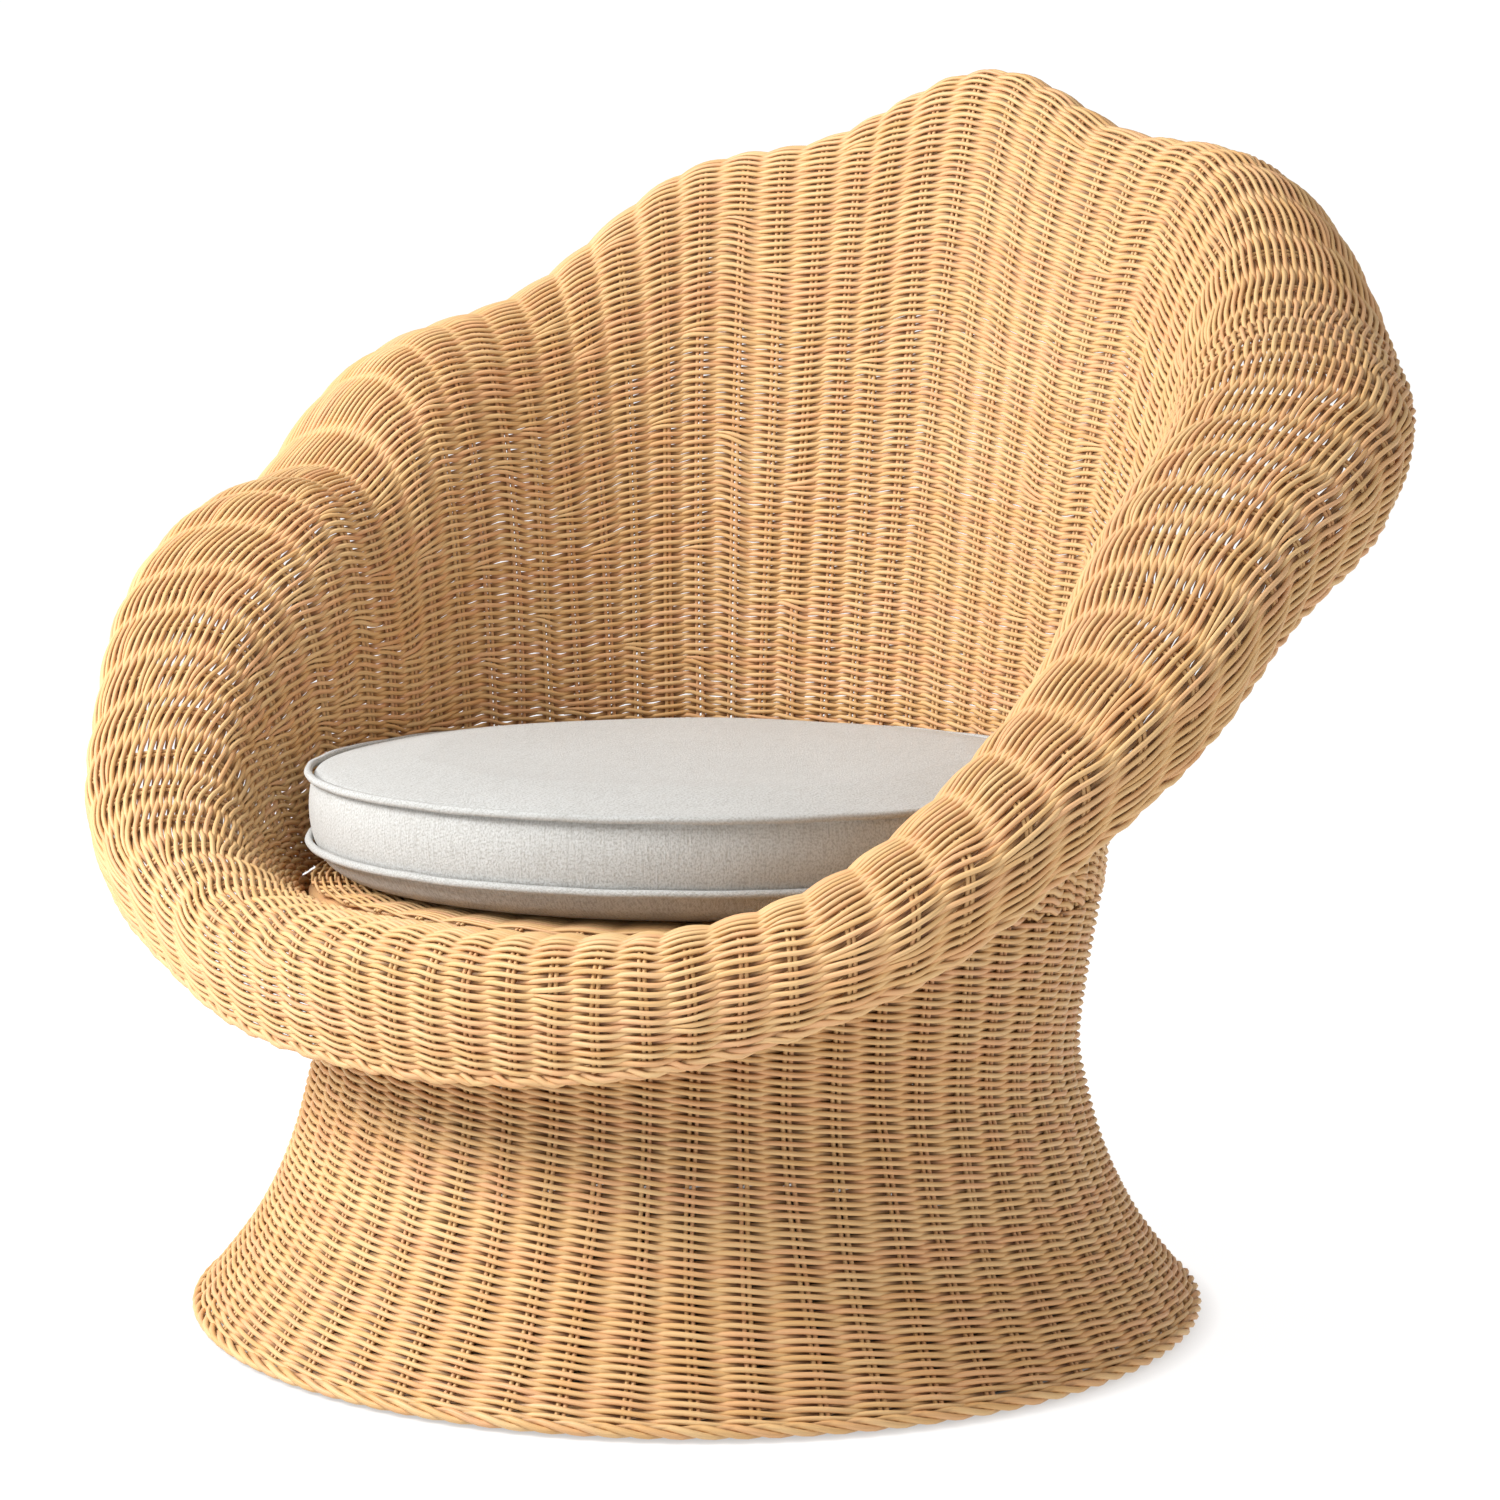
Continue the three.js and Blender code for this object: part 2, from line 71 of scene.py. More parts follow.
# The shell's section, at stations set evenly from the back round to the front.
SCALLOPS = 10
CREST_RADIUS = MM * np.array([464, 484, 452, 437, 398, 368])
CREST_HEIGHT = MM * np.array([1001, 935, 804, 671, 469, 365, 356])
ROLL_WIDTH = MM * np.array([57, 81, 102, 82, 39, 32])
ROLL_DROP = MM * np.array([87, 69, 46, 33, 32])
LIP_INSET = MM * np.array([18, 15, 12, 12])
LIP_DROP = MM * np.array([80, 60, 50, 48, 66])
SCALLOP_OUT = MM * np.array([8, 6, 5, 8, 0, 0, 0])
SCALLOP_UP = MM * np.array([15, 16, 10, 0, 0, 0, 0])
SCALLOP_SWELL = MM * np.array([4, 1, 0, 1, -6, -2, 0])
WALL_LEAN = np.array([0.18, 0.2, 0.23, 0.4, 0])
CREST_ROUNDING = np.array([0.82, 1.18, 0.6])
ARM_DIP = 40 * MM  # the left arm sinks between two of its scallops
ARM_DIP_ANGLE = -82  # degrees
ARM_DIP_SPREAD = 8


class Gauge(NamedTuple):
    """The sizes of one weave."""

    strand: float  # radius of a woven strand
    swing: float  # how far a strand stands off the middle of the weave as it passes the stakes
    slip: float  # how far the two strands of a row part as they cross
    stake: float  # radius of a stake
    spread: float  # from the middle of a pair of stakes to each of them


SHELL_GAUGE = Gauge(2.1 * MM, 2.9 * MM, 2.1 * MM, 1.75 * MM, 2.2 * MM)
BASE_GAUGE = Gauge(2.15 * MM, 3.1 * MM, 1.8 * MM, 1.9 * MM, 2.5 * MM)
DECK_GAUGE = Gauge(1.3 * MM, 2.0 * MM, 1.4 * MM, 1.3 * MM, 1.7 * MM)
BACK_SWELL = 0.32  # how much thicker a strand is beaten where it passes behind the stakes
BACK_ROW_PITCH = 6.7 * MM
FRONT_ROW_PITCH = 7.8 * MM
BASE_ROW_PITCH = 6.75 * MM
SHELL_COLUMNS = 76
BASE_COLUMNS = 54
DECK_COLUMNS = 40
DECK_ROW_PITCH = 6.2 * MM
DECK_EYE = 22 * MM  # radius of the bare middle of the deck
DECK_INSET = 2 * MM
LIP_TWIST = 4 / 3  # columns to a turn of the border's twist
LIP_REACH = 2.6 * MM  # from the middle of a border to the middle of its strands
LIP_STRAND = 2.45 * MM  # radius
LIP_SAG = 4.6 * MM  # from the weave's edge to the middle of the border
LIP_SAG_SWING = 1.3 * MM
HEM_TWIST = 1.5
HEM_REACH = 3.0 * MM
HEM_STRAND = 2.7 * MM
HEM_INSET = 7 * MM
ROW_TAPER = 1.1  # columns over which a row that ends gives way to its neighbours
ROW_TAIL = 0.5  # columns that a strand runs on past its last stakes, getting thinner
SAMPLES = 6  # points on a strand from one pair of stakes to the next
TUBE_SIDES = 6
PIECE_QUADS = 90000  # the most faces in one piece of weave

# The poles inside the weave, each as thick as in the CAD.
WEAVE = 10 * MM
HOOP_ROOM = 4.5 * MM  # from the weave's inner side to a pole
RIM_POLE = 16 * MM
LIP_POLE = 10 * MM
STAY_POLE = 14 * MM
STAY_ANGLES = (-38, -19, 0, 19, 38)
STAY_LIFT = 2.2 * MM
COLLAR_REACH = math.radians(46)
COLLAR_BRAID = 10 * MM
COLLAR_PITCH = 30 * MM
COLLAR_SPREAD = 2.4 * MM
COLLAR_STRAND = 2.3 * MM
RIM_DEPTH = WEAVE / 2 + RIM_POLE / 2 + HOOP_ROOM
LIP_DEPTH = WEAVE / 2 + LIP_POLE / 2 + HOOP_ROOM
STAY_DEPTH = WEAVE / 2 + STAY_POLE / 2 + 1.7 * HOOP_ROOM
POSTS = 6
POST_POLE = 20 * MM
BINDING_THICKNESS = 2.6 * MM
POST_DEPTH = WEAVE / 2 + BINDING_THICKNESS + POST_POLE / 2 + 4 * MM
POST_BENDS = MM * np.array([65, 120, 180, 220, 285])
SEAT_RAILS = 4
RIM_SHARE = 0.5  # how far along the roll's outer curve the rim hoop lies
KNOT_GAP = 0.26


def place(angle, radius, height):
    """Points at an angle, a radius and a height round the chair's axis."""
    return np.stack(
        [radius * np.sin(angle), AXIS_Y + radius * np.cos(angle), height + 0 * angle], axis=-1
    )


def unit(vectors):
    """The same directions, each one long."""
    return vectors / np.maximum(np.linalg.norm(vectors, axis=-1, keepdims=True), 1e-12)


def way_along(path, closed=False):
    """The direction of a path at each of its points."""
    if closed:
        return unit(np.roll(path, -1, 0) - np.roll(path, 1, 0))
    return unit(np.gradient(path, axis=0))


def run_of(path):
    """The distance along a path at each of its points."""
    return np.append(0, np.cumsum(np.linalg.norm(np.diff(path, axis=0), axis=1)))


def evenly(path, steps):
    """A path through the same places, in even steps."""
    run = run_of(path)
    even = np.linspace(0, run[-1], steps)
    return np.stack([np.interp(even, run, values) for values in path.T], axis=1)


def catmull_rom(points, steps):
    """Points on a smooth curve from the second point to the last but one."""
    share = np.linspace(0, 1, steps + 1)[:-1, None]
    line = [
        0.5 * (2 * b + (c - a) * share + (2 * a - 5 * b + 4 * c - d) * share**2
               + (3 * b - a - 3 * c + d) * share**3)
        for a, b, c, d in zip(points, points[1:], points[2:], points[3:])
    ]
    return np.concatenate([*line, points[-2:-1]])


def flat_ring(angle, radius, height):
    """Points on a level circle round the chair's axis, and the way out at each."""
    path = place(angle, np.full(len(angle), radius), np.full(len(angle), height))
    axis = place(angle, np.zeros(len(angle)), np.full(len(angle), height))
    return path, unit(path - axis)


def smooth_step(value):
    value = np.clip(value, 0, 1)
    return value * value * (3 - 2 * value)


def around(stations):
    """A value that runs smoothly round the chair through stations from its back to its front."""
    last = len(stations) - 1
    steps = np.arange(last + 1)
    share = np.where((steps == 0) | (steps == last), 0.5, 1.0)
    waves = 2 / last * share * (np.cos(math.pi * np.outer(steps, steps) / last) @ (share * stations))
    return lambda angle: np.cos(np.multiply.outer(angle, steps)) @ waves


def bezier(corners, share):
    a, b, c, d = corners
    rest = 1 - share
    return rest**3 * a + 3 * rest**2 * share * b + 3 * rest * share**2 * c + share**3 * d


def spot(radius, height):
    """A point of a section through the chair's axis."""
    return np.array([radius, height])


def shell_curves(angle, scalloped=True):
    """The corners of the shell's three curves at an angle: its wall, the roll, and its underside."""
    scallop, dip = 0, 0
    if scalloped:
        scallop = np.cos(SCALLOPS * angle)
        degrees = np.degrees(np.arctan2(np.sin(angle), np.cos(angle)))
        dip = ARM_DIP * np.exp(-(((degrees - ARM_DIP_ANGLE) / ARM_DIP_SPREAD) ** 2))
    crest = spot(
        around(CREST_RADIUS)(angle) + around(SCALLOP_OUT)(angle) * scallop,
        around(CREST_HEIGHT)(angle) + around(SCALLOP_UP)(angle) * scallop - dip,
    )
    width = around(ROLL_WIDTH)(angle) + around(SCALLOP_SWELL)(angle) * scallop
    widest = crest + spot(width, -around(ROLL_DROP)(angle))
    lip = widest - spot(around(LIP_INSET)(angle), around(LIP_DROP)(angle))
    seam = spot(SEAM_RADIUS, SEAM_HEIGHT + SEAM_ROOM)
    lean = spot(
        seam[0] + around(WALL_LEAN)(angle) * (crest[0] - seam[0]),
        seam[1] + 0.45 * (crest[1] - seam[1]),
    )
    drop = widest[1] - lip[1]
    wall = (seam, lean, crest - spot(around(CREST_ROUNDING)(angle) * width, 0), crest)
    over = (
        crest,
        crest + spot(0.55 * width, 0),
        widest + spot(0, 0.55 * (crest[1] - widest[1])),
        widest,
    )
    under = (
        widest,
        widest - spot(0, 0.5 * drop),
        lip + spot(0.35 * (widest[0] - lip[0]), 0.25 * drop),
        lip,
    )
    return wall, over, under


def shell_profile(angle, scalloped=True):
    """The shell's section from its seam over the roll to its lip."""
    shares = np.linspace(0, 1, 61)[:, None]
    wall, over, under = (bezier(corners, shares) for corners in shell_curves(angle, scalloped))
    return np.concatenate([wall, over[1:], under[1:]])


def skirt_profile(_angle=0):
    """The base wall from its hem up to the seam, a smooth curve through its stations."""
    stations = np.stack([SKIRT_RADII, SKIRT_HEIGHTS], axis=1)
    line = catmull_rom(np.concatenate([stations[:1], stations, stations[-1:]]), 20)
    foot = stations[0] + (stations[0] - stations[1]) * 0.09  # on down into the hem
    return np.concatenate([foot[None], line])


def deck_profile(_angle=0):
    low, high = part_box("seat_deck")
    height = (low.z + high.z) / 2
    return np.array([[DECK_EYE, height], [(high.x - low.x) / 2 - DECK_INSET, height]])


class Sheet:
    """A woven surface round the chair's axis, kept as an even grid of points.

    The grid's first way runs once round the chair from the middle of the back, and its second
    along each profile in even distances. facing is 1 where the side that shows lies to the left
    of the profile's way along, seen with the axis on the left, and -1 where it lies to the right.
    """

    GRID_TURNS = 960
    GRID_STEPS = 300

    def __init__(self, profile, columns, facing):
        self.columns = columns
        self.facing = facing
        angles = TURN * np.arange(self.GRID_TURNS) / self.GRID_TURNS
        lines, lengths = [], []
        for angle in angles:
            line = profile(angle)
            lines.append(evenly(line, self.GRID_STEPS))
            lengths.append(run_of(line)[-1])
        lines = np.array(lines)
        self.lengths = np.array(lengths)
        self.points = place(angles[:, None], lines[..., 0], lines[..., 1])
        round_way = np.roll(self.points, -1, 0) - np.roll(self.points, 1, 0)
        along_way = np.gradient(self.points, axis=1)
        self.normals = unit(facing * np.cross(along_way, round_way))

    def look_up(self, grid, turn, share):
        """The grid's value at a share of a turn and a share of the profile."""
        i = (turn % 1) * self.GRID_TURNS
        j = np.clip(share, 0, 1) * (self.GRID_STEPS - 1)
        i0 = np.floor(i).astype(int)
        j0 = np.minimum(np.floor(j).astype(int), self.GRID_STEPS - 2)
        di, dj = (i - i0)[..., None], (j - j0)[..., None]
        i0 = i0 % self.GRID_TURNS
        i1 = (i0 + 1) % self.GRID_TURNS
        near = grid[i0, j0] * (1 - dj) + grid[i0, j0 + 1] * dj
        far = grid[i1, j0] * (1 - dj) + grid[i1, j0 + 1] * dj
        return near * (1 - di) + far * di

    def round_columns(self):
        """Columns right round the chair, a few samples to each."""
        return np.arange(self.columns * SAMPLES) / SAMPLES

    def length(self, turn):
        ticks = np.arange(self.GRID_TURNS + 1) / self.GRID_TURNS
        return np.interp(turn % 1, ticks, np.append(self.lengths, self.lengths[0]))

    def at(self, column, share, rise=0.0, slip=0.0):
        """The point at a column, raised off the surface and moved on along the profile."""
        turn = (column + self.wander(column, share)) / self.columns
        moved = share + slip / self.length(turn)
        normal = unit(self.look_up(self.normals, turn, moved))
        over = (moved - np.clip(moved, 0, 1)) * self.length(turn)
        point = self.look_up(self.points, turn, moved)
        along = unit(self.look_up(self.points, turn, moved + 0.01)
                     - self.look_up(self.points, turn, moved - 0.01))
        return point + normal * np.asarray(rise)[..., None] + along * over[..., None], normal

    def wander(self, column, share):
        """How far, in columns, hand work has left each pair of stakes off its even place."""
        phase = TURN * column / self.columns
        return (0.045 * np.sin(7 * phase + 5 * share + 1) + 0.035 * np.sin(19 * phase - 8 * share)
                + 0.03 * np.sin(31 * phase + 2.5 * share + 2))


# ---------------------------------------------------------------- strands as tubes

draws = np.random.default_rng(7)


class Tube(NamedTuple):
    """One strand: its middle line, the way up at each point, its radii, and how it looks."""

    path: np.ndarray
    normal: np.ndarray
    radius: np.ndarray
    closed: bool
    painted_light_share: np.ndarray  # painted shade: at each point of the tube, 0 where its colour is darkened as if hidden from light
    tone: float
    offset: float  # where along a cane the strand was cut from

    def points(self):
        along = way_along(self.path, self.closed)
        side = unit(np.cross(along, self.normal))
        up = np.cross(side, along)
        corner = TURN * (np.arange(TUBE_SIDES) + 0.5) / TUBE_SIDES
        out = np.cos(corner)[:, None] * side[:, None] + np.sin(corner)[:, None] * up[:, None]
        return (self.path[:, None] + self.radius[:, None, None] * out).reshape(-1, 3)

    def faces(self, first, low, high):
        """The tube's faces, with its points counted from first, and their places on the UV map,
        in the strip between low and high."""
        count = len(self.path)
        ring = np.arange(count if self.closed else count - 1)
        corner = np.arange(TUBE_SIDES)
        here = first + (ring[:, None] * TUBE_SIDES + corner)
        beside = first + (ring[:, None] * TUBE_SIDES + (corner + 1) % TUBE_SIDES)
        step = ((ring + 1) % count - ring)[:, None] * TUBE_SIDES
        faces = np.stack([here, beside, beside + step, here + step], -1).reshape(-1, 4)
        wide = high - low
        u0 = np.broadcast_to(ring[:, None] / count, here.shape)
        u1 = u0 + 0.999 / count
        v0 = np.broadcast_to(low + (0.1 + 0.8 * corner / TUBE_SIDES) * wide, here.shape)
        v1 = v0 + 0.8 / TUBE_SIDES * wide
        strip = np.stack([u0, v0, u0, v1, u1, v1, u1, v0], -1).reshape(-1, 4, 2)
        if self.closed:
            return faces, strip
        caps = []
        for end, order in ((0, [3, 2, 1, 0]), ((count - 1) * TUBE_SIDES, [0, 1, 2, 3])):
            corners = np.array(order)
            caps += [first + end + corners, first + end + (corners + 3) % TUBE_SIDES]
        cap_strip = np.full((len(caps), 4, 2), [0.9995, (low + high) / 2])
        return np.concatenate([faces, caps]), np.concatenate([strip, cap_strip])

    def cane(self):
        """Coordinates in the cane that the strand was cut from: along it, and across it twice."""
        angle = TURN * np.arange(TUBE_SIDES) / TUBE_SIDES
        radius = self.radius[:, None]
        along = run_of(self.path)[:, None] + 9 * self.offset
        parts = np.broadcast_arrays(along, radius * np.cos(angle), radius * np.sin(angle))
        return np.stack(parts, -1).reshape(-1, 3)


class Bundle:
    """Tubes gathered into one mesh, with a strip of the UV map for each."""

    def __init__(self):
        self.tubes = []

    def quads(self):
        return sum(len(tube.path) * TUBE_SIDES for tube in self.tubes)

    def add(self, path, normal, radius, closed=False, depth=None):
        """depth runs from -1, behind the weave's stakes, to 1, before them. The side of a strand
        that faces the stakes gets painted shade, darker as if hidden from light. Without a depth the strand
        lies open, with no painted shade."""
        painted_light_share = np.ones((len(path), TUBE_SIDES))
        if depth is not None:
            corners = np.sin(TURN * (np.arange(TUBE_SIDES) + 0.5) / TUBE_SIDES)
            # painted shade: the side of a strand that faces the stakes is made darker
            painted_light_share = smooth_step((depth[:, None] * corners + 0.8) / 0.6)
        radius = np.broadcast_to(radius, len(path))
        self.tubes.append(Tube(path, normal, radius, closed, painted_light_share, draws.random(), draws.random()))

    def build(self, name, material):
        faces, strips = [], []
        first = 0
        for row, tube in enumerate(self.tubes):
            low, high = row / len(self.tubes), (row + 1) / len(self.tubes)
            tube_faces, strip = tube.faces(first, low, high)
            faces.append(tube_faces)
            strips.append(strip)
            first += len(tube.path) * TUBE_SIDES
        spots = np.concatenate([tube.points() for tube in self.tubes])
        mesh = mesh_from(name, spots, np.concatenate(faces), np.concatenate(strips))
        tint = [np.full(tube.painted_light_share.size, tube.tone) for tube in self.tubes]
        give(mesh, "cane", "FLOAT_VECTOR", np.concatenate([tube.cane() for tube in self.tubes]))
        give(mesh, "shade", "FLOAT", np.concatenate([tube.painted_light_share.ravel() for tube in self.tubes]))
        give(mesh, "tint", "FLOAT", np.concatenate(tint))
        return show(name, mesh, material)


def mesh_from(name, spots, faces, strips=None):
    mesh = bpy.data.meshes.new(name)
    mesh.vertices.add(len(spots))
    mesh.vertices.foreach_set("co", spots.astype(np.float32).ravel())
    mesh.loops.add(faces.size)
    mesh.loops.foreach_set("vertex_index", faces.astype(np.int32).ravel())
    mesh.polygons.add(len(faces))
    mesh.polygons.foreach_set("loop_start", np.arange(0, faces.size, faces.shape[1], dtype=np.int32))
    mesh.polygons.foreach_set("use_smooth", np.ones(len(faces), bool))
    if strips is not None:
        layer = mesh.uv_layers.new(name="OFBake")
        layer.uv.foreach_set("vector", strips.astype(np.float32).ravel())
    mesh.update(calc_edges=True)
    return mesh


def give(mesh, name, kind, values):
    """An attribute of the mesh's points, which a material can read."""
    attribute = mesh.attributes.new(name, kind, "POINT")
    field = "vector" if kind == "FLOAT_VECTOR" else "value"
    attribute.data.foreach_set(field, np.asarray(values, np.float32).ravel())


def read(items, field, width, kind=np.float32):
    """One field of all of a mesh's points, faces or corners, with a row for each."""
    values = np.empty(len(items) * width, kind)
    items.foreach_get(field, values)
    return values.reshape(-1, width)


def hand_in(piece, body, slot, *nodes):
    """Says which body a piece rides on and the CAD nodes it stands for. The slot is not used."""
    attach(piece, body)
    if nodes:
        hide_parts(*nodes)


def show(name, mesh, material):
    piece = bpy.data.objects.new(name, mesh)
    mesh.materials.append(material)
    bpy.context.scene.collection.objects.link(piece)
    return piece


# ---------------------------------------------------------------- materials


class Look:
    """A node material in the making: nodes are added and linked by short calls."""

    def __init__(self, name, roughness=0.5, specular=0.4):
        self.material = bpy.data.materials.new(name)
        self.material.use_nodes = True
        self.tree = self.material.node_tree
        self.shader = self.tree.nodes["Principled BSDF"]
        self.set(self.shader, "Roughness", roughness)
        self.set(self.shader, "Specular IOR Level", specular)

    def set(self, node, socket, value):
        if isinstance(value, bpy.types.NodeSocket):
            self.tree.links.new(value, node.inputs[socket])
        else:
            node.inputs[socket].default_value = value

    def node(self, kind, **inputs):
        node = self.tree.nodes.new("ShaderNode" + kind)
        for socket, value in inputs.items():
            self.set(node, socket.replace("_", " "), value)
        return node

    def attribute(self, name, output="Fac"):
        node = self.node("Attribute")
        node.attribute_name = name
        return node.outputs[output]

    def place(self):
        return self.node("TexCoord").outputs["Object"]

    def stretched(self, vector, scale):
        return self.node("Mapping", Vector=vector, Scale=scale).outputs[0]

    def noise(self, vector, scale, detail=3.0, roughness=0.5):
        node = self.node("TexNoise", Vector=vector, Scale=scale, Detail=detail, Roughness=roughness)
        return node.outputs["Fac"]

    def math(self, operation, a, b=0.0):
        node = self.node("Math")
        node.operation = operation
        self.set(node, 0, a)
        self.set(node, 1, b)
        return node.outputs[0]

    def ramp(self, value, *stops):
        node = self.node("ValToRGB", Fac=value)
        elements = node.color_ramp.elements
        while len(elements) < len(stops):
            elements.new(0.5)
        for element, (position, colour) in zip(elements, stops):
            element.position = position
            element.color = linear(colour)
        return node.outputs["Color"]

    def spread(self, value, low, high, to_low=0.0, to_high=1.0):
        node = self.node("MapRange", Value=value)
        for socket, number in zip(("From Min", "From Max", "To Min", "To Max"), (low, high, to_low, to_high)):
            self.set(node, socket, number)
        return node.outputs["Result"]

    def mix(self, share, a, b, blend="MIX"):
        node = self.node("Mix")
        node.data_type = "RGBA"
        node.blend_type = blend
        self.set(node, "Factor", share)
        self.set(node, 6, a if isinstance(a, bpy.types.NodeSocket) else linear(a))
        self.set(node, 7, b if isinstance(b, bpy.types.NodeSocket) else linear(b))
        return node.outputs[2]

    def bump(self, height, distance, strength=1.0, under=None):
        node = self.node("Bump", Height=height, Distance=distance, Strength=strength)
        if under is not None:
            self.set(node, "Normal", under)
        return node.outputs["Normal"]

    def finish(self, colour, roughness=None, normal=None):
        self.set(self.shader, "Base Color", colour)
        if roughness is not None:
            self.set(self.shader, "Roughness", roughness)
        if normal is not None:
            self.set(self.shader, "Normal", normal)
        return self.material


def linear(colour):
    """An 8-bit screen colour as the linear values that nodes take."""
    shares = np.array(colour[:3]) / 255
    values = np.where(shares <= 0.04045, shares / 12.92, ((shares + 0.055) / 1.055) ** 2.4)
    return (*values, 1.0)


def cane_look(name, pale, warm, grain_and_shade):
    """Peeled rattan: each strand has its own tone, with long fibres, and painted shade where it is sunk among
    the stakes.
    """
    look = Look(name, specular=0.35)
    fibre_place = look.stretched(look.attribute("cane", "Vector"), (30, 900, 900))
    fibres = look.noise(fibre_place, 1.0, 3.0, 0.6)
    lengthwise = look.noise(look.stretched(look.attribute("cane", "Vector"), (14, 60, 60)), 1.0, 2.0)
    patches = look.noise(look.place(), 7.0, 3.0)
    tone = look.math("ADD", look.math("MULTIPLY", look.attribute("tint"), 0.5),
                     look.math("MULTIPLY", lengthwise, 0.5))
    rosy = tuple(0.5 * np.array(pale) + 0.5 * np.array(warm) + np.array([4, -5, 5]))
    colour = look.ramp(tone, (0.15, warm), (0.36, rosy), (0.52, pale), (0.85, warm))
    colour = look.mix(look.spread(patches, 0.35, 0.7, 0.0, 0.35), colour, warm)
    colour = look.mix(look.spread(fibres, 0.55, 0.8, 0.0, 0.35), colour, grain_and_shade)
    # painted shade: the colour goes towards the dark colour where the shade attribute is low
    colour = look.mix(look.spread(look.attribute("shade"), 0.0, 1.0, 0.85, 0.0), colour, grain_and_shade)
    roughness = look.spread(fibres, 0.3, 0.7, 0.42, 0.6)
    return look.finish(colour, roughness, look.bump(fibres, 0.12 * MM, 0.5))


def cloth_look(name, light, dark, slub_way=1):
    """A slubbed plain weave, from the piece's own flat cloth coordinates in metres."""
    look = Look(name, roughness=0.92, specular=0.15)
    flat = look.attribute("cloth", "Vector")
    yarns = []
    for way, period in ((0, 0.95 * MM), (1, 1.05 * MM)):
        wave = look.node("TexWave", Vector=flat, Scale=TURN / 20 / period, Distortion=1.2, Detail=2.0)
        wave.inputs["Detail Scale"].default_value = 1.5
        wave.bands_direction = "XY"[way]
        yarns.append(wave.outputs["Fac"])
    weave = look.math("MULTIPLY", yarns[0], yarns[1])
    long_scale = (520, 45, 500) if slub_way else (45, 520, 500)
    slubs = look.noise(look.stretched(flat, long_scale), 1.0, 2.0, 0.55)
    fuzz = look.noise(flat, 1900.0, 2.0)
    broad = look.noise(look.place(), 9.0, 2.0)
    nubs = look.noise(look.stretched(flat, (680, 480, 600)), 1.0, 2.0, 0.6)
    colour = look.mix(look.spread(slubs, 0.48, 0.68, 0.0, 0.26), light, dark)
    colour = look.mix(look.spread(nubs, 0.46, 0.62, 0.0, 0.5), colour, dark)
    colour = look.mix(look.spread(weave, 0.0, 0.5, 0.24, 0.0), colour, dark)
    colour = look.mix(look.spread(fuzz, 0.5, 0.75, 0.0, 0.25), colour, dark)
    colour = look.mix(look.spread(broad, 0.35, 0.75, 0.0, 0.1), colour, dark)
    look.set(look.shader, "Sheen Weight", 0.25)
    look.set(look.shader, "Sheen Roughness", 0.5)
    height = look.math("ADD", weave, look.math("MULTIPLY", slubs, 1.6))
    height = look.math("ADD", height, look.math("MULTIPLY", nubs, 2.2))
    height = look.math("ADD", height, look.math("MULTIPLY", fuzz, 0.5))
    return look.finish(colour, None, look.bump(height, 0.5 * MM, 0.8))


def foam_look():
    look = Look("foam", roughness=0.95, specular=0.1)
    cells = look.node("TexVoronoi", Vector=look.place(), Scale=700.0).outputs["Distance"]
    tone = look.noise(look.place(), 25.0)
    colour = look.ramp(tone, (0.3, (226, 214, 168)), (0.7, (240, 232, 198)))
    colour = look.mix(look.spread(cells, 0.0, 0.35, 0.5, 0.0), colour, (170, 150, 100))
    return look.finish(colour, None, look.bump(cells, 0.5 * MM, 0.8))


def nylon_look():
    look = Look("moulded_nylon", specular=0.45)
    grain = look.noise(look.place(), 2200.0, 2.0)
    scuffs = look.noise(look.stretched(look.place(), (60, 400, 90)), 1.0, 4.0)
    colour = look.ramp(scuffs, (0.35, (44, 38, 33)), (0.75, (70, 62, 54)))
    return look.finish(colour, look.spread(scuffs, 0.3, 0.8, 0.4, 0.65), look.bump(grain, 0.08 * MM, 0.5))


def metal_look(name, bright, dull, scale):
    look = Look(name)
    look.set(look.shader, "Metallic", 1.0)
    marks = look.noise(look.stretched(look.place(), scale), 1.0, 4.0)
    colour = look.ramp(marks, (0.35, dull), (0.65, bright))
    return look.finish(colour, look.spread(marks, 0.3, 0.7, 0.3, 0.5), look.bump(marks, 0.03 * MM, 0.5))


FLOOR_GLOW = 0.88
GLOW_STARTS = 0.36  # metres from the chair's axis: no glow under the chair, a painted contact shadow
GLOW_FULL = 0.43


def floor_look():
    """A pale floor with painted light: it glows, so that shadows on it stay faint, but not near the chair's
    foot, where the fading glow paints a soft contact shadow.
    """
    look = Look("studio_floor", roughness=0.9, specular=0.0)
    tone = look.noise(look.place(), 1.5, 2.0)
    away = look.node("VectorMath", Vector=look.place())
    away.operation = "DISTANCE"
    away.inputs[1].default_value = (0, AXIS_Y, 0)
    # painted light and shadow: the emission grows with the distance from the chair's axis
    glow = look.spread(away.outputs["Value"], GLOW_STARTS, GLOW_FULL, 0.0, FLOOR_GLOW)
    look.set(look.shader, "Emission Color", (1, 1, 1, 1))
    look.set(look.shader, "Emission Strength", glow)
    return look.finish(look.ramp(tone, (0.3, (148, 148, 148)), (0.7, (154, 154, 154))))


